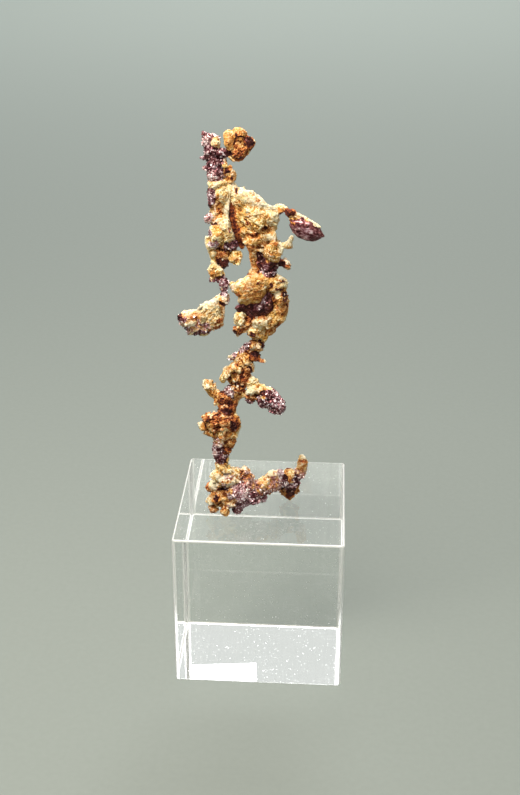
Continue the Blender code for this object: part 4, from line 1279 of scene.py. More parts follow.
@dataclass
class MiddleMass(Branch):
    """The overhanging mass in the middle, pale above and dark beneath."""

    node: str = "middle_mass"
    slot: str = "ochre_crust"
    seed: int = 16
    grain: Row = (0.92, 0.0, 0.4)
    stretch: float = 3.0
    rough: float = 0.62
    mottle: float = 0.8
    lumps: Rows = (
        (-1.3, 75.6, 0.8, 0.9, 1, 0.9, 0, AMBER), (0.9, 75.6, 0.5, 1.3, 1.3, 1, 0, PLUM),
        (-1.9, 73.2, 0.1, 2.4, 1.9, 1.7, 20, HONEY), (-3.2, 72.9, 0, 1.4, 1.4, 1.2, 40, CREAM),
        (-4.4, 72.9, 0.2, 0.6, 0.7, 0.8, 0, CREAM), (-0.9, 69.6, 0.8, 2.2, 1.7, 1.4, 0, LEAF),
        (0.8, 71.2, 0.8, 1.5, 1.6, 1.8, 0, LEAF), (0.6, 73.9, 0.4, 1.6, 1.8, 1.4, 0, OCHRE),
        (2.3, 73.6, 0.7, 1.8, 1.7, 1.7, 0, CREAM), (3, 71.6, 0.7, 1.5, 1.6, 1.6, 0, OCHRE),
        (3, 69.4, 0.7, 1.2, 1.4, 1.5, 0, AMBER), (2.5, 68.2, 0.6, 1.4, 1.3, 1.3, 0, GOLD),
        (3.3, 67.9, 0.7, 0.8, 1, 0.9, 0, CREAM), (-3.2, 67.3, 0.6, 0.9, 0.8, 0.8, 0, CREAM),
        (-1.7, 67.9, 0.8, 1.2, 1.1, 0.9, 0, RUST), (-0.3, 67.2, 0.1, 1.3, 1.3, 1, 0, CREAM),
        (1.3, 67.4, 0.5, 1.5, 1.3, 1.1, 20, OCHRE), (-0.7, 65.7, 0.8, 1.2, 1.3, 1.1, 0, OCHRE),
        (1.3, 73.4, 3, 1.9, 1.4, 1.3, 25, PLUM), (-0.6, 71.7, 3.1, 2.1, 1.3, 1.5, -20, OCHRE),
        (1.6, 69.7, 2.6, 1.5, 1.3, 1.7, 15, OCHRE), (-2.4, 73.2, 2.3, 1.4, 1.2, 1.2, 10, OCHRE),
    )
    limbs: Rows = (
        (RUST, (3.2, 67.6, 1, 0.6), (2.1, 66.6, 1, 0.6), (1.1, 65.4, 1, 0.55)),
        (
            OCHRE, (4, 70.5, 1, 0.4), (3.9, 68.9, 1, 0.4), (3.2, 67.4, 1.1, 0.4),
            (1.9, 65.9, 1.1, 0.35),
        ),
    )
    slabs: Rows = (
        (
            HONEY, -0.4, 1.6, 2, (-2.2, 75.3), (-3, 74.8), (-3.9, 74.1), (-4.6, 73.9),
            (-4.95, 73.3), (-4.95, 72.4), (-4.4, 71.8), (-3.7, 71.4), (-4.1, 70.5), (-3.2, 70.2),
            (-1.6, 70.2), (-0.4, 70.4), (0.3, 71.2), (0.7, 72.4), (1.2, 73.2), (1.4, 74.3), (1, 75),
            (-0.6, 75.6),
        ),
        (
            LEAF, 0.6, 1.4, 1, (-4.7, 69.4), (-4.2, 69.9), (-3.4, 70.3), (-1.5, 70.8), (0.2, 71.6),
            (0.6, 72.9), (1.4, 73.1), (1.9, 72.3), (1.9, 71), (2, 70.2), (1.7, 69.3), (1.1, 68.6),
            (0.3, 68.2), (-0.9, 68), (-1.8, 67.3), (-2.4, 68), (-2.9, 68.6), (-3.9, 68.8),
        ),
        (
            CREAM, 0.2, 0.9, 0.8, (-4.7, 68.2), (-4.2, 68.7), (-3.3, 68.7), (-2.8, 68.2),
            (-2.9, 67.4), (-3.2, 66.7), (-4, 66.2), (-4.6, 66.7), (-4.9, 67.5),
        ),
        (
            RUST, 0.3, 0.8, 0.9, (-4.9, 65.4), (-4.7, 65.9), (-4.1, 66.1), (-3.2, 66.8),
            (-2.4, 67.2), (-1.7, 66.9), (-2.1, 66.1), (-2.7, 65.4), (-3.4, 64.9), (-4.2, 64.7),
            (-4.7, 64.9),
        ),
    )
    hollows: Rows = (
        (1.2, 71.3, -1.2, 0.6, 0.9, 1, 15),
    )
    stains: Rows = (
        (CREAM, -3.6, 73.4, 0.9, 0.7, 35), (PINK, -4.8, 73, 0.35, 0.9, 0),
        (RUST, -4, 71.8, 0.7, 0.25, -15), (OCHRE, -1, 73.2, 2, 1.5, 30),
        (RUST, -2, 73, 1.6, 0.1, 22), (RUST, -1.5, 72.3, 1.6, 0.1, 18),
        (RUST, -2.3, 71.6, 1.3, 0.09, 25), (RUST, -0.5, 74, 1, 0.1, 30),
        (RUST, 0.3, 73.2, 0.8, 0.1, 40), (AMBER, -1.2, 71, 1.4, 0.25, 15),
        (RUST, -1.8, 75.2, 0.35, 0.2, 0), (UMBER, 3.4, 74.3, 0.35, 0.3, 0),
        (UMBER, 2.6, 72.9, 0.35, 0.3, 0), (RUST, 2.8, 74.4, 0.5, 0.15, -20),
        (UMBER, 3.7, 71, 0.5, 0.25, 30), (RUST, 4.2, 70.3, 0.25, 0.6, 0),
        (RUST, 2.6, 69.6, 0.3, 0.5, 0), (RUST, 2.4, 66.2, 1.7, 0.3, 45),
        (UMBER, 1.6, 73.4, 0.3, 0.5, 0), (UMBER, 3.8, 72, 0.6, 0.5, 0),
        (RUST, 3.3, 72.8, 0.5, 0.3, 20), (WHITE, 2.5, 71.9, 0.6, 0.6, 0),
        (WHITE, 4.3, 73.2, 0.4, 0.5, 0), (UMBER, 4.6, 71.7, 0.3, 0.4, 0),
        (AMBER, 3.3, 70.3, 0.9, 0.6, 0), (RUST, 2.2, 70.9, 0.5, 0.3, 0),
        (GOLD, 2, 68.5, 0.8, 0.6, 20), (MAUVE, 0.5, 71, 0.6, 0.7, 0),
        (MAUVE, -0.3, 69.6, 0.7, 0.5, 20), (RUST, -0.4, 67.9, 1.2, 0.35, 0),
        (UMBER, -2.8, 69.3, 1.5, 0.5, 10), (UMBER, -0.6, 68.7, 1.4, 0.4, 0),
        (UMBER, 1.3, 70.8, 0.5, 1.2, 0), (UMBER, -4.5, 65.1, 0.5, 0.5, 20),
        (PINK, -3.2, 66.1, 0.7, 0.25, 35), (GOLD, -3.9, 67.3, 0.5, 0.7, 0),
        (RUST, -1.1, 64.9, 0.4, 0.4, 0),
    )


@dataclass
class Torso(Branch):
    """The crumpled plates of the torso, its neck, its golden blob and its twig."""

    node: str = "torso"
    slot: str = "ochre_crust"
    seed: int = 17
    grain: Row = (0.85, 0.0, -0.5)
    stretch: float = 2.6
    rough: float = 0.55
    mottle: float = 0.55
    lumps: Rows = (
        (-4.6, 89.2, 1.5, 1.2, 1.3, 1.1, -20, CREAM), (-3.2, 87.9, 1.2, 1.9, 1.6, 1.8, -15, CREAM),
        (-1.2, 87.4, 1.2, 2, 1.5, 1.4, -30, CREAM), (0.8, 86, 1.2, 1.8, 1.4, 1.1, -30, CREAM),
        (-3.9, 86, 1.9, 1.2, 1.3, 2.4, 8, OCHRE), (-3.5, 83.2, 1.8, 1.2, 1.3, 2.4, 8, AMBER),
        (-2.7, 85.4, 0.9, 1.7, 1.7, 2, 0, GOLD), (-0.4, 84.6, 0.8, 2.3, 1.9, 2, 0, GOLD),
        (1.3, 84.3, 1, 1.1, 1.4, 2, 0, CREAM), (-2.4, 82.6, 0.8, 1.6, 1.6, 1.7, 0, OCHRE),
        (-1.1, 81.8, 0.6, 2.2, 1.7, 1.6, 0, OCHRE), (1.1, 82, 0.7, 1.1, 1.2, 0.6, 0, CREAM),
        (1.6, 79.4, -0.3, 1.5, 1.5, 1.6, 0, OCHRE), (2.8, 79.8, 0, 0.7, 1, 1.1, 0, WHITE),
        (0.1, 80.8, 0.3, 0.9, 1, 0.7, 0, OCHRE), (0.2, 78.8, 1, 1.2, 1.2, 1.2, 0, PLUM),
        (0.9, 77.2, 0.6, 1.6, 1.4, 1.4, 0, PLUM), (0.9, 75.8, 0.6, 1.3, 1.3, 1.2, 0, PLUM),
        (2.6, 77.5, 0.4, 1, 0.8, 0.6, 15, UMBER), (2.4, 86.5, 1, 0.9, 0.9, 0.7, 0, CREAM),
        (-2.3, 86.8, 2.9, 1.8, 1.2, 1.7, -25, OCHRE), (0.1, 85.6, 2.8, 1.6, 1.2, 1.2, -35, OCHRE),
        (-0.8, 83.4, 3, 2.1, 1.1, 1.4, 20, PLUM), (0.6, 81.6, 2.4, 1.4, 1.1, 1.3, 0, OCHRE),
        (-0.2, 79, 2.3, 1.4, 1.1, 1.5, -10, OCHRE),
    )
    limbs: Rows = (
        (
            AMBER, (-1.7, 80.6, 0, 1), (-1.45, 79.4, 0.3, 0.8), (-1.15, 77.4, 0.7, 0.7),
            (-1, 75.6, 0.8, 0.85), (-1, 74.6, 0.8, 1),
        ),
        (
            CREAM, (-1.9, 79.5, 0.4, 0.3), (-1.75, 78, 0.4, 0.25), (-1.6, 76.6, 0.4, 0.25),
            (-1.7, 75.4, 0.4, 0.35),
        ),
        (
            RUST, (-4.75, 87.3, 1, 0.5), (-4.9, 85.6, 0.9, 0.6), (-4.5, 83.6, 0.8, 0.6),
            (-3.9, 81.7, 0.8, 0.55), (-3.2, 80.2, 0.8, 0.5),
        ),
        (
            OCHRE, (-4, 86.6, 0.4, 0.45), (-3.9, 84.8, 0.2, 0.5), (-3.6, 83.2, 0.2, 0.5),
            (-3, 81.4, 0.2, 0.5),
        ),
        (
            CREAM, (-2.8, 82.3, 0.1, 0.3), (-1.9, 82.6, -0.3, 0.3), (-1.1, 82.9, -0.4, 0.35),
            (-0.4, 82.7, -0.3, 0.3),
        ),
        (CREAM, (-3.2, 85, -0.1, 0.35), (-2.4, 83.9, -0.3, 0.35), (-1.6, 83.1, -0.4, 0.3)),
        (GOLD, (2.2, 80.8, 0.9, 0.45), (3.2, 80.5, 1.2, 0.4), (4, 80.4, 1.4, 0.45)),
    )
    slabs: Rows = (
        (
            WHITE, 0.7, 1.2, 1.6, (-4.6, 88.9), (-3.4, 89.6), (-1.6, 89.4), (-0.2, 88.2),
            (1.2, 87.1), (2.6, 86.8), (2.7, 85.5), (0.8, 86), (-1.2, 86.5), (-2.7, 87.2),
            (-4.4, 87.9),
        ),
        (
            CREAM, 0.2, 1.3, 1.5, (-3, 86.6), (-0.8, 86.8), (1.2, 86.3), (2.7, 85.8), (2.7, 84.4),
            (2.3, 83.7), (0.6, 84), (-0.6, 83.9), (-1.5, 83.4), (-2.5, 84.3), (-3.2, 85.4),
        ),
        (
            CREAM, -0.2, 0.5, 0.9, (-0.3, 82.2), (0.7, 82.5), (2.2, 82.7), (2.35, 81.9),
            (2.25, 80.9), (1.5, 81.2), (0.5, 81.5),
        ),
        (
            CREAM, 1.4, 0.5, 0.5, (3, 80.9), (3.3, 80.4), (3.8, 79.9), (4.5, 79.85), (4.95, 80.1),
            (4.8, 80.7), (4.65, 81), (5.05, 81.6), (5, 82.15), (4.6, 82), (4.25, 81.3), (3.8, 81),
        ),
        (
            PINK, 0.2, 0.8, 0.8, (3.3, 77.8), (3.8, 78.3), (4.4, 77.9), (4.6, 77.1), (4.1, 76.5),
            (3.5, 76.8),
        ),
    )
    hollows: Rows = (
        (0.75, 83, -1.1, 1.15, 0.75, 0.65, 3), (-1.5, 81.9, -1.1, 1.1, 0.7, 0.55, 5),
        (-3.5, 86.4, -0.4, 0.8, 0.5, 0.6, -20), (0, 78.3, -0.9, 0.5, 0.9, 1.2, 15),
        (-2.6, 84.7, -0.8, 0.4, 0.4, 0.2, -45),
    )
    stains: Rows = (
        (OCHRE, -4, 86.9, 0.8, 1, -35), (OCHRE, -3.5, 85.9, 0.5, 0.5, 0),
        (RUST, -4.6, 85.2, 0.6, 2.4, 10), (CLAY, -4.8, 85.2, 0.55, 2.5, 10),
        (CLAY, -3.8, 81.5, 0.55, 2.2, 20), (RUST, -2.2, 84, 1, 0.16, -45),
        (RUST, -0.6, 87.9, 0.4, 0.3, -40), (RUST, 0.9, 86.6, 0.4, 0.16, -10),
        (PINK, -1.7, 89, 0.8, 0.3, -15), (UMBER, -3.9, 89.3, 0.25, 0.4, 0),
        (WHITE, -0.2, 86.9, 1.8, 0.4, -15), (OCHRE, 0.5, 85.3, 1.2, 0.3, 0),
        (AMBER, 0.75, 83, 1.3, 0.8, 3), (RUST, 0.9, 83.5, 1, 0.2, 3),
        (AMBER, -1.5, 81.9, 1.3, 0.7, 5), (RUST, -1.5, 82.2, 1, 0.2, 5),
        (WHITE, 1.3, 81.9, 1, 0.45, -8), (CREAM, 0.6, 81.2, 0.6, 0.3, -20),
        (OCHRE, -1.2, 81, 1.6, 0.5, 0), (OCHRE, -1.3, 77.6, 0.35, 2, 0),
        (RUST, 0.9, 81, 1, 0.14, -18), (AMBER, 0.2, 80.5, 0.8, 0.4, -20),
        (RUST, -1.5, 79.8, 0.5, 0.3, 0), (AMBER, -2.2, 80.8, 0.8, 0.2, 25),
        (UMBER, 3.4, 77.2, 0.5, 0.5, 0), (RUST, 4.2, 76.9, 0.5, 0.4, 0),
        (RUST, 1.6, 78.7, 0.8, 0.12, 10), (GOLD, 1.6, 80.1, 0.9, 0.5, 0),
        (UMBER, -0.4, 78.4, 0.6, 1.2, 15), (RUST, 1.2, 79.6, 0.12, 0.6, 10),
        (UMBER, 0.1, 77.6, 0.6, 0.9, 10), (UMBER, 1.6, 76.8, 0.7, 0.5, 30),
        # The lilac streaks are painted sheen on the dark metal.
        (LILAC, 0.6, 76.9, 0.8, 0.14, -25), (LILAC, 1.2, 75.7, 0.8, 0.14, 15),
        (ROSE, 0.2, 76.2, 0.3, 0.4, 0), (AMBER, 4.4, 80.1, 0.5, 0.25, 0),
    )


@dataclass
class RightBlade(Branch):
    """The dark leaf held out on a pale arch to the right."""

    node: str = "right_blade"
    slot: str = "purple_copper"
    seed: int = 18
    grain: Row = (0.86, 0.0, -0.42)
    stretch: float = 3.6
    grid: float = 0.07
    lumps: Rows = (
        (3, 86.2, 0.4, 0.7, 0.6, 0.55, 0, OCHRE), (4.9, 85, -0.2, 0.6, 0.6, 0.6, -30, CREAM),
    )
    limbs: Rows = (
        (
            CREAM, (1.6, 86.3, 1.4, 0.8), (2.3, 86.8, 1, 0.4), (3.1, 86.95, 0.6, 0.35),
            (3.9, 86.6, 0.3, 0.35),
        ),
        (
            WHITE, (4.9, 85.5, -0.1, 0.45), (5.6, 85.6, -0.3, 0.45), (6.5, 85.1, -0.5, 0.38),
            (7.6, 84.7, -0.9, 0.25), (8.8, 84, -1.2, 0.2), (9.4, 83.6, -1.4, 0.15),
        ),
    )
    slabs: Rows = (
        (
            CLAY, -0.1, 0.8, 0.8, (3.8, 86.6), (5.15, 86.6), (5.6, 86), (5.2, 85.2), (4.3, 85.1),
            (3.7, 85.7),
        ),
        (
            LEAF, -0.8, 0.8, 0.5, (4.6, 84.5), (4.3, 84), (4.6, 83.3), (5.1, 82.5), (5.8, 81.8),
            (6.7, 81.4), (7.6, 81.2), (8.6, 81.3), (9.5, 81.7), (10.15, 82.1), (9.8, 82.7),
            (9.5, 83.4), (8.8, 84), (7.8, 84.6), (6.4, 84.8), (5.4, 84.8),
        ),
    )
    stains: Rows = (
        (AMBER, 2.9, 86.2, 0.8, 0.5, 0), (UMBER, 3.1, 85.7, 0.8, 0.15, 0),
        (CREAM, 5, 85.1, 0.5, 0.35, 0), (WHITE, 6.3, 85.35, 1.1, 0.35, -15),
        (LEAF, 6.3, 84.5, 1.3, 0.4, -14), (RUST, 4.9, 84.2, 0.6, 0.25, -20),
        # The lilac streaks are painted sheen on the dark leaf.
        (LILAC, 7, 83.2, 1.5, 0.3, -12), (LILAC, 6.6, 82.3, 1, 0.2, -25),
        (LILAC, 8.2, 82.5, 0.9, 0.15, -20),
    )


@dataclass
class LeftColumn(Branch):
    """The left column, with a pale ridge down its right side and a chip at its left."""

    node: str = "left_column"
    slot: str = "cream_crust"
    seed: int = 24
    rough: float = 0.6
    mottle: float = 0.7
    lumps: Rows = (
        (-7.4, 91.9, 1.8, 1.3, 1.4, 1.1, 0, ROSE), (-6.9, 90.3, 1.5, 1.8, 1.5, 0.9, 0, CREAM),
        (-5, 90, 1.5, 1.2, 1.3, 0.9, -20, CREAM), (-8, 88.6, 1.2, 0.75, 1.1, 1.5, 0, MAUVE),
        (-8.2, 87.2, 1, 0.5, 0.7, 0.6, 0, PLUM), (-6.3, 88.8, 0.9, 1.3, 1.2, 1.4, 0, CREAM),
        (-7, 86.7, 1.3, 1.1, 1.2, 1.8, 0, OCHRE), (-6.7, 84.4, 1, 1.1, 1.3, 1.1, 0, PINK),
        (-7, 82.2, 0.4, 1.9, 1.8, 1.9, 0, CREAM), (-8, 80.7, 0.6, 1.1, 1.2, 1.1, 0, CREAM),
        (-5.3, 80.6, 0.5, 1.4, 1.2, 1.1, 0, PLUM), (-4.4, 78.4, 0.2, 1.1, 1.1, 1.1, 0, GOLD),
        (-8, 79, 0.6, 0.75, 0.8, 1.2, 0, CREAM), (-6.3, 78.9, 0.8, 1.2, 1.1, 0.9, 0, RUST),
        (-7.8, 77.3, 0.6, 0.6, 0.7, 0.8, 0, CREAM), (-7.1, 86.4, 2.9, 1.2, 1, 1.8, 5, OCHRE),
        (-6.6, 83.8, 2.6, 1.3, 1.1, 1.4, 0, OCHRE), (-7.1, 81.2, 2.2, 1.5, 1.1, 1.5, 10, PLUM),
    )
    slabs: Rows = (
        (
            WHITE, 0.5, 0.6, 1.2, (-4.9, 88.9), (-5.1, 87.6), (-5.3, 86.4), (-5.3, 85), (-5, 83.6),
            (-4.6, 82.3), (-4.3, 81.3), (-5.4, 80.9), (-6.4, 80.7), (-6.9, 81.8), (-6.7, 83.4),
            (-6.3, 84.8), (-6, 86.4), (-6, 88.2),
        ),
        (
            CREAM, -0.8, 0.6, 1.4, (-6.3, 84.8), (-5.4, 84.8), (-5.05, 83.4), (-4.65, 82.2),
            (-4.35, 81.35), (-5.5, 80.9), (-6.1, 80.8), (-6.5, 81.8), (-6.5, 83.2),
        ),
        (
            ROSE, 0.8, 0.6, 0.6, (-8.9, 85.5), (-8.3, 85.65), (-7.8, 85.3), (-7.7, 84.3),
            (-8.4, 83.85), (-9.1, 84), (-9.3, 84.5), (-9.2, 85.1),
        ),
        (
            UMBER, 0.6, 0.8, 0.8, (-7.7, 77.9), (-6.6, 78.2), (-5.4, 78), (-5.6, 77), (-6.3, 76.1),
            (-7, 76.9),
        ),
    )
    limbs: Rows = (
        (PINK, (-6.9, 78.3, 0.1, 0.2), (-6.3, 78.35, -0.1, 0.2), (-5.7, 78.2, 0.1, 0.2)),
        (CREAM, (-9, 81.5, 0.3, 0.35), (-9, 80.4, 0.2, 0.35), (-8.6, 79.3, 0.2, 0.35)),
    )
    hollows: Rows = (
        (-6.9, 86.3, -0.1, 0.7, 0.7, 1.3, 0), (-6.6, 80, -0.9, 0.5, 0.6, 0.8, 0),
    )
    stains: Rows = (
        (CREAM, -6.8, 90, 1.8, 0.6, 0), (GOLD, -6.5, 89, 1, 0.5, 0),
        (MAUVE, -8, 88.3, 0.7, 1.4, -5), (UMBER, -8.4, 86.9, 0.4, 0.3, 0),
        (PINK, -7.3, 87.1, 0.4, 0.25, 40), (PINK, -7.4, 86, 0.4, 1.2, 0),
        (AMBER, -6.8, 86.4, 0.5, 1.2, 0), (RUST, -6.7, 85.8, 0.35, 0.6, 0),
        (RUST, -7.1, 88.1, 0.2, 0.5, 0), (AMBER, -6.9, 85.2, 0.6, 0.5, 0),
        (UMBER, -7.6, 83.8, 0.35, 0.2, 0), (GOLD, -7.4, 83, 0.7, 0.5, 0),
        (AMBER, -7.1, 81.8, 0.7, 0.35, -20), (ROSE, -8.5, 82.4, 0.4, 0.7, 0),
        (GOLD, -6.4, 81.3, 0.7, 0.7, 0), (OCHRE, -6.9, 82.1, 0.7, 0.25, -20),
        (SPECK, -5.6, 82.7, 0.25, 0.4, 20), (ROSE, -8, 80.3, 0.9, 0.6, 0),
        (MAUVE, -7.7, 80.5, 0.5, 0.3, 0), (RUST, -6.7, 79.5, 0.6, 0.9, 0),
        (PLUM, -5.2, 80.2, 0.9, 0.9, 0), (MAUVE, -4.7, 80.3, 0.5, 0.5, 0),
        (AMBER, -4.4, 77.9, 0.6, 0.4, 20),
    )


@dataclass
class LeftLobe(Branch):
    """The chain of beads that hangs from the column, and the flared lobe at its end."""

    node: str = "left_lobe"
    slot: str = "cream_crust"
    seed: int = 20
    grid: float = 0.08
    rough: float = 0.5
    mottle: float = 0.5
    lumps: Rows = (
        (-7.8, 77.1, 0.5, 0.5, 0.6, 0.9, 0, CREAM), (-6.3, 73.9, 0.2, 0.7, 0.8, 0.9, 0, MAUVE),
        (-6.3, 70.9, 0.1, 0.95, 0.95, 1, 0, SPECK), (-7.3, 71.2, 0.1, 0.6, 0.6, 0.5, 45, PINK),
        (-8.5, 69.2, -0.8, 1.4, 1.2, 1.7, 25, CREAM), (-8.2, 67.7, -0.9, 1.4, 1.3, 1.2, 0, CREAM),
        (-10.3, 67.9, -1.3, 1.9, 1.2, 1, 20, CREAM), (-11.8, 67, -1.7, 1.5, 1, 1.2, 15, PINK),
        (-10.2, 65.8, -1.2, 1.9, 1, 0.8, 10, PINK), (-7.6, 66.6, -0.6, 1.1, 0.8, 0.5, 20, RUST),
    )
    limbs: Rows = (
        (UMBER, (-12.9, 67.3, -1.5, 0.6), (-13.7, 67.6, -1.6, 0.35), (-14.15, 67.75, -1.7, 0.12)),
        (PLUM, (-8.3, 74.3, 0.2, 0.35), (-7.4, 74.3, 0.3, 0.35), (-6.5, 74.4, 0.3, 0.5)),
        (MAUVE, (-6.3, 73.4, 0.2, 0.6), (-6.35, 72.4, 0.2, 0.45), (-6.2, 71.5, 0.2, 0.6)),
        (PINK, (-6.5, 70.2, 0, 0.6), (-6.6, 68.9, -0.3, 0.45), (-6.7, 67.4, -0.5, 0.45)),
        (CREAM, (-7.9, 77.1, 0.1, 0.3), (-7, 76.3, 0, 0.4), (-6.4, 75.5, 0.1, 0.35)),
    )
    slabs: Rows = (
        (
            GOLD, 0.4, 0.8, 0.9, (-8, 77.5), (-8.9, 76.1), (-8.6, 75.2), (-8.2, 74.7), (-7.2, 74.7),
            (-6.4, 75), (-6.2, 75.7), (-7.1, 76.9),
        ),
        (
            CREAM, -1.1, 1.1, 1, (-7.1, 71.2), (-7.9, 71.3), (-8.5, 70.8), (-9.4, 70.2),
            (-10, 69.5), (-11, 69), (-12, 68.9), (-13, 68.6), (-13.6, 68.1), (-14, 67.5),
            (-13.9, 66.9), (-13.4, 66), (-12.8, 65.2), (-12.5, 64.5), (-12.2, 64.2), (-11.6, 64.6),
            (-10.4, 64.2), (-9.6, 64.4), (-8.8, 65), (-7.9, 65.5), (-6.6, 66), (-6.3, 66.9),
            (-6.9, 68.2), (-6.9, 69.8),
        ),
    )
    hollows: Rows = (
        (-11, 65.6, -2.8, 1.2, 0.6, 0.5, 10),
    )
    stains: Rows = (
        (OCHRE, -8, 75.6, 0.9, 0.8, 0), (AMBER, -8.2, 75.3, 0.5, 0.5, 0),
        (WHITE, -6.9, 76.1, 0.3, 0.9, -50), (UMBER, -6.9, 74.9, 0.8, 0.15, 5),
        (WHITE, -8.2, 74.35, 0.2, 0.15, 0), (UMBER, -6.3, 70.1, 0.8, 0.3, 0),
        (PINK, -6.4, 71.1, 0.5, 0.4, 0), (WHITE, -10.6, 69.1, 2, 0.25, 20),
        (GOLD, -8.3, 69, 0.7, 0.5, 0), (CREAM, -8.9, 68.3, 1.6, 1.4, 20),
        # The white stain at the lobe's apex, x -8.2, is a painted highlight on the pale crust.
        (WHITE, -8.2, 70.5, 0.9, 0.5, 35), (AMBER, -11.3, 68.2, 0.6, 0.3, 0),
        (PINK, -12.4, 67.7, 1.2, 0.5, 10), (SPECK, -12, 66.7, 2.1, 1.3, 10),
        (PINK, -12.4, 66.1, 1, 1, -40), (WHITE, -11.6, 66.6, 0.7, 0.5, 0),
        (SPECK, -12.3, 65.3, 1, 0.7, -30), (PLUM, -13.4, 67.1, 1.1, 0.4, -35),
        (PLUM, -12.9, 65.4, 0.7, 0.2, -50), (SPECK, -9.9, 66, 1.4, 0.5, 10),
        (PLUM, -10.2, 64.9, 1.7, 0.5, 8), (RUST, -7.7, 65.8, 1.3, 0.3, 25),
        (RUST, -7.2, 67, 0.5, 0.5, 0), (UMBER, -13.9, 67.7, 0.6, 0.35, 0),
    )


@dataclass
class Crown(Branch):
    """The crown: a crystal column with spikes, a smooth knob to its right and an ear below."""

    node: str = "crown"
    slot: str = "purple_copper"
    seed: int = 21
    grid: float = 0.08
    rough: float = 0.5
    mottle: float = 0.8
    lumps: Rows = (
        (-8.3, 97.2, 2.1, 1, 1, 1.1, 0, ROSE), (-7.2, 97, 1.5, 0.75, 0.8, 0.8, 0, CREAM),
        (-8, 95.5, 2, 1.2, 1.2, 1.2, 0, PLUM), (-7.4, 94, 2, 1.3, 1.3, 1.3, 0, PLUM),
        (-7.4, 92.2, 1.8, 1.3, 1.4, 1.4, 0, MAUVE), (-6.9, 90.6, 1.5, 1.7, 1.5, 0.9, 0, CREAM),
        (-5.1, 97.5, 0.6, 1, 1.3, 1.6, 5, HONEY), (-3.7, 98.4, 0.7, 1.2, 1.2, 1, -10, AMBER),
        (-3, 96.9, 0.9, 1.4, 1.3, 1.2, 0, RUST), (-3.9, 95.5, 0.7, 1.2, 1.1, 1.2, 0, HONEY),
        (-5.9, 94.2, 1.4, 0.4, 0.6, 0.5, 0, PINK), (-5.8, 93.5, 1.2, 0.45, 0.6, 0.5, 0, GOLD),
        (-4.9, 91.2, 1.3, 0.6, 0.7, 0.7, 0, OCHRE), (-7, 93.2, 3.2, 1, 0.9, 1.3, 0, ROSE),
        (-4, 97.1, 2.4, 1.2, 1.1, 1.1, 0, OCHRE),
    )
    limbs: Rows = (
        (PLUM, (-8.4, 97.9, 2.2, 0.5), (-8.9, 98.2, 2.2, 0.4), (-9.4, 98.7, 2.3, 0.2)),
        (ROSE, (-8.2, 98, 2, 0.3), (-7.4, 98.1, 1.8, 0.25), (-6.8, 97.8, 1.8, 0.2)),
        (MAUVE, (-9, 94.6, 2.2, 0.4), (-9.7, 94.6, 2.2, 0.3)),
        (MAUVE, (-8.6, 92.9, 2, 0.45), (-9.2, 92.9, 2, 0.25)),
        (PLUM, (-9.1, 97, 2, 0.3), (-9.5, 96.9, 2, 0.15)),
        (PLUM, (-7, 95.5, 1.7, 0.7), (-5.9, 95.5, 1.2, 0.6), (-5, 95.6, 0.8, 0.6)),
    )
    slabs: Rows = (
        (
            AMBER, 1.1, 0.5, 0.9, (-5.9, 93.1), (-5, 93.2), (-4.4, 92.8), (-4.05, 92), (-4.2, 91.2),
            (-4.6, 90.7), (-5.2, 90.9), (-5.6, 91.6), (-6.1, 92.3),
        ),
        (
            RUST, 0.6, 1, 1.2, (-2.9, 98.2), (-2.2, 98), (-1.5, 97.8), (-1.05, 97.3), (-1.3, 96.7),
            (-1.8, 96), (-2, 95.5), (-2.6, 94.9), (-3.3, 94.3), (-4, 94.1), (-4.5, 94.3),
            (-4.8, 94.9), (-4.4, 96.6), (-3.9, 97.7),
        ),
    )
    hollows: Rows = (
        (-3.1, 96.8, -0.7, 0.9, 0.5, 0.8, 0), (-5.2, 92, 0.2, 0.55, 0.7, 0.75, 0),
    )
    stains: Rows = (
        (CREAM, -7.2, 97.1, 0.7, 0.7, 0), (RUST, -7.2, 96.8, 0.25, 0.2, 0),
        (PLUM, -8, 95.1, 1.2, 1, 0), (ROSE, -8.3, 92, 0.6, 0.7, 0),
        (ROSE, -7.4, 91.2, 0.9, 0.35, 0), (ROSE, -6.7, 93.8, 0.6, 0.5, 0),
        (PLUM, -6.5, 91.7, 0.4, 0.7, 0), (UMBER, -5.1, 95.5, 0.6, 0.6, 0),
        (AMBER, -5.2, 97, 0.8, 1, 0), (OCHRE, -5.3, 98.4, 0.8, 0.6, 20),
        (UMBER, -4.3, 97.6, 0.18, 1.1, -20), (UMBER, -3.3, 97.9, 0.9, 0.15, 0),
        (UMBER, -2.1, 97.2, 0.9, 0.8, -20), (EARTH, -3.3, 96.7, 0.9, 0.9, 0),
        (RUST, -3.5, 95.2, 1.2, 0.9, 10), (GOLD, -1.9, 95.5, 0.3, 0.4, 0),
        (CREAM, -1.2, 97.4, 0.25, 0.3, 0), (UMBER, -5.5, 92.5, 0.5, 0.4, 0),
        (GOLD, -5.2, 92, 0.3, 0.5, 20), (UMBER, -4.9, 91.3, 0.3, 0.35, 0),
    )


BRANCHES: tuple[type[Branch], ...] = (
    FootCluster,
    FootArm,
    LowerStem,
    LowerLobe,
    MiddleStem,
    MiddleMass,
    Torso,
    RightBlade,
    LeftColumn,
    LeftLobe,
    Crown,
)


# fmt: on
# ---------------------------------------------------------------- materials


Sockets = bpy.types.NodeSocket
Stops = tuple[tuple[float, tuple[float, float, float]], ...]


ACRYLIC_IOR = 1.49
BLACK = (0.0, 0.0, 0.0, 1.0)
PLAIN_WHITE = (1.0, 1.0, 1.0, 1.0)


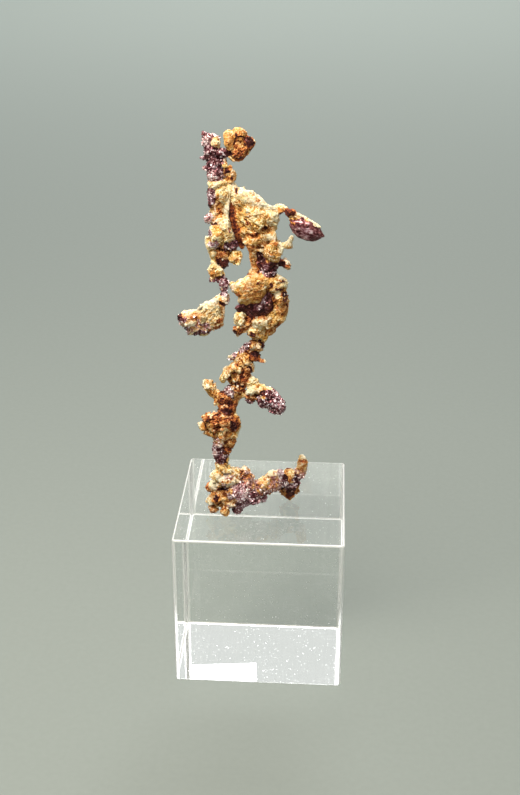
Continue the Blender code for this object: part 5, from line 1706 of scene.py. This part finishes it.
class Wiring:
    """Adds nodes to a tree and links them, to keep materials short."""

    def __init__(self, tree: bpy.types.NodeTree) -> None:
        """Keeps the tree."""
        self.tree = tree

    def add(self, kind: str, **inputs: object) -> bpy.types.Node:
        """A new node.

        Args:
            kind: the node's type.
            inputs: settings by attribute name, and values or sockets by input name, where
                an underscore stands for a space and a leading i and number for its place.

        Returns:
            The node.
        """
        return self.fill(self.tree.nodes.new(kind), **inputs)

    def fill(self, node: bpy.types.Node, **inputs: object) -> bpy.types.Node:
        """Sets a node up.

        Args:
            node: the node.
            inputs: as for a new node.

        Returns:
            The same node.
        """
        for key, value in inputs.items():
            if key.startswith("i") and key[1:].isdigit():
                self.feed(node.inputs[int(key[1:])], value)
            elif hasattr(node, key):
                setattr(node, key, value)
            else:
                self.feed(node.inputs[key.replace("_", " ")], value)
        return node

    def feed(self, socket: Sockets, value: object) -> None:
        """Links a socket to another, or sets its value."""
        if isinstance(value, bpy.types.NodeSocket):
            self.tree.links.new(value, socket)
        else:
            socket.default_value = value

    def math(self, operation: str, *values: object, clamp: bool = False) -> Sockets:
        """A sum, product or other operation on numbers.

        Args:
            operation: Blender's name for it.
            values: numbers or sockets.
            clamp: keeps the result from 0 to 1.

        Returns:
            The result's socket.
        """
        node = self.add("ShaderNodeMath", operation=operation, use_clamp=clamp)
        for socket, value in zip(node.inputs, values):
            self.feed(socket, value)
        return node.outputs[0]

    def off_middle(self, noise: Sockets) -> Sockets:
        """How far a noise is from its middle value."""
        return self.math("ABSOLUTE", self.math("SUBTRACT", noise, 0.5))

    def place(self) -> Sockets:
        """The place on the object, in metres."""
        return self.add("ShaderNodeTexCoord").outputs["Object"]

    def mapped(
        self,
        value: object,
        low: float,
        high: float,
        first: float = 0.0,
        last: float = 1.0,
        kind: str = "LINEAR",
    ) -> Sockets:
        """A number carried from one range to another.

        Args:
            value: the number or its socket.
            low: where the old range starts.
            high: where it ends.
            first: what low becomes.
            last: what high becomes.
            kind: Blender's name for how it climbs between.

        Returns:
            The result's socket.
        """
        node = self.add("ShaderNodeMapRange", i0=value, i1=low, i2=high, i3=first, i4=last)
        node.interpolation_type = kind
        return node.outputs[0]

    def mix(self, share: object, first: object, second: object) -> Sockets:
        """A colour between first and second.

        Args:
            share: 0 for the first, 1 for the second.
            first: a colour or its socket.
            second: a colour or its socket.

        Returns:
            The mixed colour's socket.
        """
        node = self.tree.nodes.new("ShaderNodeMix")
        node.data_type = "RGBA"
        self.feed(node.inputs[0], share)
        self.feed(node.inputs[6], first)
        self.feed(node.inputs[7], second)
        return node.outputs[2]

    def between(self, share: object, first: object, second: object) -> Sockets:
        """A number between first and second.

        Args:
            share: 0 for the first, 1 for the second.
            first: a number or its socket.
            second: a number or its socket.

        Returns:
            The number's socket.
        """
        node = self.tree.nodes.new("ShaderNodeMix")
        self.feed(node.inputs[0], share)
        self.feed(node.inputs[2], first)
        self.feed(node.inputs[3], second)
        return node.outputs[0]

    def ramp(self, value: Sockets, stops: Stops) -> Sockets:
        """A colour ramp.

        Args:
            value: what picks the colour.
            stops: places and colours.

        Returns:
            The colour's socket.
        """
        node = self.tree.nodes.new("ShaderNodeValToRGB")
        elements = node.color_ramp.elements
        while len(elements) < len(stops):
            elements.new(0.5)
        for element, (place, colour) in zip(elements, stops):
            element.position = place
            element.color = (*colour, 1.0)
        self.feed(node.inputs[0], value)
        return node.outputs[0]


def new_group(name: str, scale: float, outputs: tuple[str, ...]) -> tuple[Wiring, Sockets]:
    """A shader node group of numbers, with one input, its scale.

    Args:
        name: the group's name.
        scale: the scale that it starts with, in cells to the metre.
        outputs: names of the numbers it gives.

    Returns:
        The group's wiring, and the scale's socket.
    """
    tree = bpy.data.node_groups.new(name, "ShaderNodeTree")
    kind = "NodeSocketFloat"
    tree.interface.new_socket("Scale", in_out="INPUT", socket_type=kind).default_value = scale
    for label in outputs:
        tree.interface.new_socket(label, in_out="OUTPUT", socket_type=kind)
    wire = Wiring(tree)
    return wire, wire.add("NodeGroupInput").outputs["Scale"]


def principled(name: str) -> tuple[bpy.types.Material, Wiring, bpy.types.Node]:
    """A new material.

    Args:
        name: its name.

    Returns:
        The material, its wiring and its shader.
    """
    made = bpy.data.materials.new(name)
    made.use_nodes = True
    return made, Wiring(made.node_tree), made.node_tree.nodes["Principled BSDF"]


def facet_group() -> bpy.types.NodeTree:
    """Crystal facets: random cells, each a tilted flat, with a colour number and a height.

    Height is the place within the cell along the cell's own random slope.
    """
    wire, scale = new_group("crystal_facets", 2500.0, ("Height", "Pick"))
    place = wire.place()
    cells = wire.add("ShaderNodeTexVoronoi", Vector=place, Scale=scale)
    spot, middle = (
        wire.add("ShaderNodeVectorMath", operation="SCALE", i0=where, i3=scale).outputs[0]
        for where in (place, cells.outputs["Position"])
    )
    away, slope = (
        wire.add("ShaderNodeVectorMath", operation="SUBTRACT", i0=whole, i1=part).outputs[0]
        for whole, part in ((spot, middle), (cells.outputs["Color"], (0.5, 0.5, 0.5)))
    )
    tilt = wire.add("ShaderNodeVectorMath", operation="DOT_PRODUCT", i0=away, i1=slope)
    parts = wire.add("ShaderNodeSeparateColor", i0=cells.outputs["Color"])
    wire.add("NodeGroupOutput", Height=tilt.outputs["Value"], Pick=parts.outputs[0])
    return wire.tree


def grain_group() -> bpy.types.NodeTree:
    """Earthy grain: fine noise and pits as a height, a stain number, and thin wandering veins.

    A vein runs where the wide noise crosses its middle value.
    """
    wire, scale = new_group("earthy_grain", 4200.0, ("Height", "Stain", "Vein"))
    place = wire.place()
    fine_scale = wire.math("MULTIPLY", scale, 0.65)
    fine = wire.add("ShaderNodeTexNoise", Vector=place, Scale=fine_scale, Detail=4.0)
    wide_scale = wire.math("MULTIPLY", scale, 0.28)
    wide = wire.add("ShaderNodeTexNoise", Vector=place, Scale=wide_scale, Detail=5.0)
    wire.fill(wide, Roughness=0.65)
    pits = wire.add("ShaderNodeTexVoronoi", Vector=place, Scale=scale)
    pitted = wire.math("SMOOTH_MIN", pits.outputs["Distance"], 0.35, 0.2)
    veins = [
        wire.mapped(wire.off_middle(noise.outputs[0]), 0.0, width, strength, 0.0)
        for noise, width, strength in ((wide, 0.045, 1.0), (fine, 0.05, 0.8))
    ]
    lines = wire.math("MAXIMUM", *veins)
    rough = wire.math("ADD", wire.math("MULTIPLY", fine.outputs[0], 0.7), pitted)
    height = wire.math("MULTIPLY_ADD", lines, -0.8, rough)
    wire.add("NodeGroupOutput", Vein=lines, Height=height, Stain=wide.outputs[0])
    return wire.tree


@dataclass(frozen=True)
class NuggetFinish:
    """The nugget's surface: earthy crust over bare, tarnished copper crystals.

    Each of crust and metal has two ramps from dark to pale, and blush picks between them.
    """

    golden: Stops = (
        (0.0, (0.040, 0.010, 0.005)),
        (0.18, (0.16, 0.040, 0.009)),
        (0.34, (0.40, 0.14, 0.018)),
        (0.5, (0.64, 0.30, 0.042)),
        (0.64, (0.78, 0.47, 0.12)),
        (0.8, (0.88, 0.68, 0.31)),
        (1.0, (0.97, 0.89, 0.58)),
    )
    rosy: Stops = (
        (0.0, (0.035, 0.006, 0.005)),
        (0.18, (0.15, 0.022, 0.011)),
        (0.34, (0.37, 0.080, 0.022)),
        (0.5, (0.62, 0.21, 0.050)),
        (0.64, (0.76, 0.38, 0.15)),
        (0.8, (0.87, 0.62, 0.38)),
        (1.0, (0.97, 0.87, 0.74)),
    )
    plum: Stops = (
        (0.0, (0.034, 0.005, 0.007)),
        (0.25, (0.12, 0.028, 0.034)),
        (0.5, (0.30, 0.14, 0.165)),
        (0.75, (0.70, 0.52, 0.56)),
        (1.0, (0.95, 0.87, 0.91)),
    )
    copper: Stops = (
        (0.0, (0.028, 0.005, 0.005)),
        (0.25, (0.12, 0.026, 0.020)),
        (0.5, (0.33, 0.12, 0.09)),
        (0.75, (0.74, 0.48, 0.38)),
        (1.0, (0.97, 0.87, 0.79)),
    )
    crust_roughness: float = 0.85
    metal_roughness: float = 0.28
    metallic: float = 0.45
    shine: float = 0.3
    bump_depth: float = 0.00012
    # The colour of the deepest hollows: partly dirt in the crevices, partly painted shade.
    crevice_dirt_and_shade: Colour = (0.05, 0.012, 0.008)

    def material(self) -> bpy.types.Material:
        """The material, which reads the skin's crust, tone, hollow and blush marks."""
        made, wire, shader = principled("nugget_skin")
        crust, tone, hollow, blush = (
            wire.add("ShaderNodeAttribute", attribute_name=name).outputs["Fac"]
            for name in ("crust", "tone", "hollow", "blush")
        )
        grain = wire.add("ShaderNodeGroup", node_tree=grain_group())
        facets = wire.add("ShaderNodeGroup", node_tree=facet_group())
        stain = wire.math("MULTIPLY_ADD", grain.outputs["Stain"], 0.5, -0.22)
        veined = wire.math("MULTIPLY_ADD", grain.outputs["Vein"], -0.13, stain)
        crust_tone = wire.math("ADD", tone, veined, clamp=True)
        warm = wire.math("MULTIPLY_ADD", grain.outputs["Stain"], -0.9, 0.45)
        blush = wire.math("ADD", blush, warm, clamp=True)
        pick = wire.math("MULTIPLY_ADD", facets.outputs["Pick"], 0.42, -0.19)
        metal_tone = wire.math("ADD", tone, pick, clamp=True)
        golden, rosy = wire.ramp(crust_tone, self.golden), wire.ramp(crust_tone, self.rosy)
        plum, copper = wire.ramp(metal_tone, self.plum), wire.ramp(metal_tone, self.copper)
        crusty = wire.mix(blush, golden, rosy)
        bare = wire.mix(blush, plum, copper)
        colour = wire.mix(crust, bare, crusty)
        # Partly dirt and partly painted shade: where the hollow mark is deep, the colour is mixed
        # towards the crevice colour.
        dark = wire.math("SUBTRACT", hollow, 0.6, clamp=True)
        shade = wire.math("MULTIPLY", dark, 2.2, clamp=True)
        deep = wire.mix(wire.math("MULTIPLY", shade, 0.8), colour, (*self.crevice_dirt_and_shade, 1.0))
        metal = wire.math("SUBTRACT", 1.0, crust)
        height = wire.between(crust, facets.outputs["Height"], grain.outputs["Height"])
        bump = wire.add("ShaderNodeBump", Strength=0.9, Distance=self.bump_depth, Height=height)
        wire.fill(
            shader,
            Base_Color=deep,
            Metallic=wire.math("MULTIPLY", metal, self.metallic),
            Roughness=wire.between(crust, self.metal_roughness, self.crust_roughness),
            Specular_IOR_Level=self.shine,
            Normal=bump.outputs[0],
        )
        return made


@dataclass(frozen=True)
class AcrylicFinish:
    """Clear acrylic with hair scratches and a little dust, which glow faintly as painted light, and
    a painted streaky glow on its top face.
    """

    ior: float = ACRYLIC_IOR
    glow: float = 0.16
    dust_scale: float = 3400.0
    dust_rarity: float = 13.0
    dust_size: float = 0.26
    hair_bend: float = 0.004
    hair_sets: tuple[tuple[Row, Row], ...] = (
        ((0.3, 0.2, 0.5), (1500.0, 1500.0, 40.0)),
        ((1.2, 0.5, 1.9), (1300.0, 1300.0, 50.0)),
        ((1.0, 1.7, 0.2), (1700.0, 1700.0, 60.0)),
    )

    def material(self) -> bpy.types.Material:
        """The material, whose marks and top face glow through a faint emission: painted light."""
        made, wire, shader = principled("clear_acrylic")
        place = wire.place()
        patches = wire.add("ShaderNodeTexNoise", Vector=place, Scale=160.0, Detail=3.0)
        worn = wire.mapped(patches.outputs[0], 0.45, 0.62)
        scratched = wire.math("MULTIPLY", self.hairs(wire, place, patches.outputs["Color"]), worn)
        specks = wire.add("ShaderNodeTexVoronoi", Vector=place, Scale=self.dust_scale)
        parts = wire.add("ShaderNodeSeparateColor", i0=specks.outputs["Color"])
        power = wire.math("POWER", parts.outputs[0], self.dust_rarity)
        reach = wire.math("MULTIPLY", power, self.dust_size)
        dust = wire.math("LESS_THAN", specks.outputs["Distance"], reach)
        normal = wire.add("ShaderNodeNewGeometry").outputs["Normal"]
        up = wire.add("ShaderNodeSeparateXYZ", i0=normal)
        combed = wire.add("ShaderNodeMapping", Vector=place, Scale=(1600.0, 40.0, 1.0))
        top_glow_streaks = wire.add("ShaderNodeTexNoise", Vector=combed.outputs[0], Scale=1.0, Detail=3.0)
        # Painted light: a streaky glow on the top face stands in for the dust there and the bright
        # surroundings it reflects.
        top = wire.math("GREATER_THAN", up.outputs[2], 0.9)
        painted_top_glow_mask = wire.math("MULTIPLY", top, top_glow_streaks.outputs[0])
        painted_top_glow = wire.math("MULTIPLY", painted_top_glow_mask, 0.3)
        # The scratches and dust glow too, as painted light that they seem to catch.
        seen = wire.math("ADD", wire.math("MULTIPLY", scratched, 0.35), painted_top_glow)
        total = wire.math("ADD", seen, wire.math("MULTIPLY", dust, 0.6), clamp=True)
        wire.fill(
            shader,
            Base_Color=(0.985, 0.995, 0.99, 1.0),
            IOR=self.ior,
            Transmission_Weight=1.0,
            Emission_Color=wire.mix(total, BLACK, PLAIN_WHITE),
            Emission_Strength=self.glow,
            Roughness=wire.math("MULTIPLY", dust, 0.3),
        )
        return made

    def hairs(self, wire: Wiring, place: Sockets, bend: Sockets) -> Sockets:
        """Hair scratches: stretched noise, drawn as a thin line where it crosses its middle.

        Args:
            wire: the material's wiring.
            place: the place on the object.
            bend: noise that bends the lines.

        Returns:
            The socket of a number that is 1 on a hair.
        """
        bent = wire.add("ShaderNodeVectorMath", operation="MULTIPLY_ADD")
        wire.fill(bent, i0=bend, i1=(self.hair_bend,) * 3, i2=place)
        marks = None
        for turn, stretch in self.hair_sets:
            turned = wire.add("ShaderNodeMapping", Vector=bent.outputs[0], Rotation=turn)
            lines = wire.add("ShaderNodeMapping", Vector=turned.outputs[0], Scale=stretch)
            noise = wire.add("ShaderNodeTexNoise", Vector=lines.outputs[0], Scale=1.0, Detail=1.0)
            hair = wire.mapped(wire.off_middle(noise.outputs[0]), 0.012, 0.0)
            marks = hair if marks is None else wire.math("MAXIMUM", marks, hair)
        return marks


@dataclass(frozen=True)
class EdgeFinish:
    """The block's fine frosted edges, whitened as a painted highlight that stands in for the bright
    lines they reflect.
    """

    def material(self) -> bpy.types.Material:
        """The material."""
        made, wire, shader = principled("frosted_edge")
        grain = wire.add("ShaderNodeTexNoise", Vector=wire.place(), Scale=400.0, Detail=3.0)
        wire.fill(
            shader,
            # Painted highlight: the edges are whitened to stand in for the bright lines that they
            # reflect.
            Base_Color=wire.mix(grain.outputs[0], (0.8, 0.84, 0.82, 1.0), PLAIN_WHITE),
            IOR=ACRYLIC_IOR,
            Transmission_Weight=0.55,
            Roughness=0.35,
        )
        return made


@dataclass(frozen=True)
class FloorFinish:
    """A plain pale grey-green floor with a very fine grain.

    Past lit_reach from the lit middle, over the width of fade, it takes up a faint glow of the
    horizon's colour, so that it meets the sky with no dark band.
    """

    colour: Colour = (0.182, 0.207, 0.188)
    lit_middle: float = 0.45
    lit_reach: float = 0.55
    fade: float = 0.45
    horizon: Colour = (0.197, 0.189, 0.183)

    def material(self) -> bpy.types.Material:
        """The material."""
        made, wire, shader = principled("pale_floor")
        place = wire.place()
        grain = wire.add("ShaderNodeTexNoise", Vector=place, Scale=900.0, Detail=3.0)
        dark = tuple(0.9 * part for part in self.colour)
        colour = wire.mix(grain.outputs[0], (*dark, 1.0), (*self.colour, 1.0))
        lit = (0.0, self.lit_middle, 0.0)
        out = wire.add("ShaderNodeVectorMath", operation="DISTANCE", i0=place, i1=lit)
        reach = self.lit_reach, self.lit_reach + self.fade
        away = out.outputs["Value"]
        far = wire.mapped(away, *reach, kind="SMOOTHSTEP")
        wire.fill(
            shader,
            Base_Color=colour,
            Roughness=0.9,
            Emission_Color=wire.mix(far, BLACK, (*self.horizon, 1.0)),
            Emission_Strength=1.0,
        )
        return made


# ---------------------------------------------------------------- block


@dataclass
class Block:
    """The clear display block.

    It casts no shadow and gives the floor no bounced light: a render takes clear plastic for a
    solid there, and darkens the block's inside.
    """

    side: float = 30.0
    upright_radius: float = 0.6
    level_radius: float = 0.3
    corner_steps: int = 9
    edge_steps: int = 5

    def section(self, inset: np.ndarray) -> tuple[np.ndarray, np.ndarray]:
        """Rounded squares, each set in from the block's sides.

        Each corner is an arc about a fixed centre, whose radius is the upright radius less the
        inset. Past that radius the corner centre itself moves in.

        Args:
            inset: how far in each square is, (k,).

        Returns:
            Points (k, n, 2) and the outward directions (n, 2).
        """
        quarter = np.linspace(0, math.pi / 2, self.corner_steps)
        angle = (quarter[None] + np.arange(4)[:, None] * math.pi / 2).ravel()
        out = np.stack([np.cos(angle), np.sin(angle)], -1)
        corners = np.array(((1, 1), (-1, 1), (-1, -1), (1, -1)), float)
        sign = np.repeat(corners, self.corner_steps, 0)
        radius = np.maximum(self.upright_radius - inset, 0)
        centre = self.side / 2 - np.maximum(inset, self.upright_radius)
        points = sign[None] * centre[:, None, None] + out[None] * radius[:, None, None]
        return points, out

    def skin(self) -> tuple[Skin, np.ndarray]:
        """The square carried up the block: in along the lower edge's arc, up, and in at the top.

        Returns:
            The skin, and its exact normals.
        """
        arc = np.linspace(0, math.pi / 2, self.edge_steps)
        inset = self.level_radius * (1 - np.sin(arc))
        drop = self.level_radius * (1 - np.cos(arc))
        insets = np.concatenate([inset, inset[::-1]])
        heights = np.concatenate([drop, self.side - drop[::-1]])
        flat, out = self.section(insets)
        column = (*flat.shape[:2], 1)
        rings = np.concatenate([flat, np.broadcast_to(heights[:, None, None], column)], -1)
        tilt = np.concatenate([arc, arc[::-1]])
        rise = np.concatenate([-np.cos(arc), np.cos(arc[::-1])])
        sideways = out[None] * np.sin(tilt)[:, None, None]
        normals = np.concatenate([sideways, np.broadcast_to(rise[:, None, None], column)], -1)
        poles = np.array(((0.0, 0.0, 0.0), (0.0, 0.0, self.side)))
        downs = np.array(((0.0, 0.0, -1.0), (0.0, 0.0, 1.0)))
        points = np.concatenate([poles[:1], rings.reshape(-1, 3), poles[1:]])
        facing = np.concatenate([downs[:1], normals.reshape(-1, 3), downs[1:]])
        return Skin(points, capped_rings(len(insets), 4 * self.corner_steps)), facing

    def edge_faces(self, normals: np.ndarray, faces: np.ndarray) -> np.ndarray:
        """Which faces lie on a rounded edge, where a face's corners don't all face one way.

        Args:
            normals: the exact normals, (n, 3).
            faces: corner numbers, (m, 3).

        Returns:
            True for each such face, (m,).
        """
        spread = np.ptp(normals[faces], axis=1)
        return spread.max(-1) > 0.02

    def build(self, material: bpy.types.Material, edge: bpy.types.Material) -> bpy.types.Object:
        """Builds the block in place of its solid.

        Args:
            material: clear acrylic.
            edge: the frosted edges' material, whitened as a painted highlight.

        Returns:
            The block's object.
        """
        skin, facing = self.skin()
        mesh = mesh_of("acrylic_block", skin)
        mesh.polygons.foreach_set("use_smooth", np.ones(len(skin.faces), bool))
        mesh.normals_split_custom_set_from_vertices(facing)
        mesh.materials.append(material)
        mesh.materials.append(edge)
        slots = self.edge_faces(facing, skin.faces).astype(np.int32)
        mesh.polygons.foreach_set("material_index", slots)
        made = placed("acrylic_block_clear", mesh)
        made.visible_shadow = False
        made.visible_diffuse = False
        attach(made, "root")
        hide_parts("acrylic_block")
        LOG.info("acrylic block: %d faces", len(skin.faces))
        return made


# ---------------------------------------------------------------- studio


AIM = (0.0, 0.0, 0.07)
PLAIN = (1.0, 1.0, 1.0)


@dataclass
class Studio:
    """The floor, the lights, the sky and the camera."""

    yaw: float = -3.46
    pitch: float = 25.59
    roll: float = 0.11
    lens: float = 55.2
    sensor: float = 36.0
    floor_side: float = 6.0
    floor_drop: float = 0.00003
    lamps: Rows = (
        ("key", (-0.07, -0.09, 0.27), (0.13, 0.13), 1.15, (1.0, 0.92, 0.82), AIM),
        ("fill", (0.28, -0.40, 0.34), (0.32, 0.32), 0.56, (1.0, 0.94, 0.87), AIM),
        ("card", (-0.06, 0.95, 0.74), (0.75, 0.75), 0.9, (0.95, 1.0, 0.97), AIM),
        ("far_floor", (0.0, 1.0, 1.1), (0.8, 0.8), 31.0, PLAIN, (0.0, 1.1, 0.0)),
        ("strip", (-0.083, 0.78, 0.620), (0.066, 0.019), 0.011, PLAIN, AIM),
    )

    def camera(self) -> bpy.types.Object:
        """The camera, set as the scene's own."""
        yaw, pitch, roll = (math.radians(angle) for angle in (self.yaw, self.pitch, self.roll))
        level = math.cos(pitch)
        ahead = Vector((math.sin(yaw) * level, math.cos(yaw) * level, -math.sin(pitch)))
        right = Vector((math.cos(yaw), -math.sin(yaw), 0.0))
        up = right.cross(ahead)
        across = right * math.cos(roll) + up * math.sin(roll)
        over = -right * math.sin(roll) + up * math.cos(roll)
        turn = Matrix((across, over, -ahead)).transposed().to_4x4()
        data = bpy.data.cameras.new("camera")
        data.lens = self.lens
        data.sensor_width = self.sensor
        data.clip_start = 0.005
        made = placed("camera", data)
        made.matrix_world = Matrix.Translation(Vector(EYE) * MM) @ turn
        bpy.context.scene.camera = made
        return made

    def floor(self) -> bpy.types.Object:
        """The floor, just under the block."""
        half = self.floor_side / 2
        corners = np.array(((-half, -half), (half, -half), (half, half), (-half, half)))
        points = np.concatenate([corners, np.full((4, 1), -self.floor_drop)], -1)
        mesh = mesh_of("floor", Skin(points, np.arange(4)[None]), scale=1.0)
        mesh.materials.append(FloorFinish().material())
        made = placed("floor", mesh)
        return made

    @staticmethod
    def light(name: str, place: Row, sides: Row, power: float, colour: Row, target: Row) -> None:
        """A soft light that the camera doesn't see.

        Args:
            name: its name.
            place: where it stands, in metres.
            sides: its width and height.
            power: its strength in watts.
            colour: its colour.
            target: what it faces.
        """
        data = bpy.data.lights.new(name, "AREA")
        data.shape = "RECTANGLE"
        data.size, data.size_y = sides
        data.energy = power
        data.color = colour
        made = placed(name, data)
        made.location = place
        aim = Vector(target) - Vector(place)
        made.rotation_euler = aim.to_track_quat("-Z", "Y").to_euler()
        made.visible_camera = False

    def lights(self) -> None:
        """Sets up each lamp, aimed at its own target."""
        for lamp in self.lamps:
            self.light(*lamp)

    @staticmethod
    def sky() -> None:
        """An even pale sky."""
        world = bpy.data.worlds.new("sky")
        bpy.context.scene.world = world
        world.use_nodes = True
        ground = world.node_tree.nodes["Background"]
        ground.inputs["Color"].default_value = (0.86, 0.85, 0.81, 1.0)
        ground.inputs["Strength"].default_value = 0.28

    def build(self) -> None:
        """Sets up everything round the object."""
        self.floor()
        self.lights()
        self.sky()
        self.camera()
        view = bpy.context.scene.view_settings
        view.view_transform = "Standard"
        LOG.info("studio: floor, %d lights, sky and camera", len(self.lamps))


def main() -> None:
    """Builds the block, the branches and the studio."""
    logging.basicConfig(level=logging.INFO, format="%(message)s")
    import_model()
    Block().build(AcrylicFinish().material(), EdgeFinish().material())
    skin_material = NuggetFinish().material()
    for branch in BRANCHES:
        branch().build(skin_material)
    Studio().build()


if __name__ == "__main__":
    main()
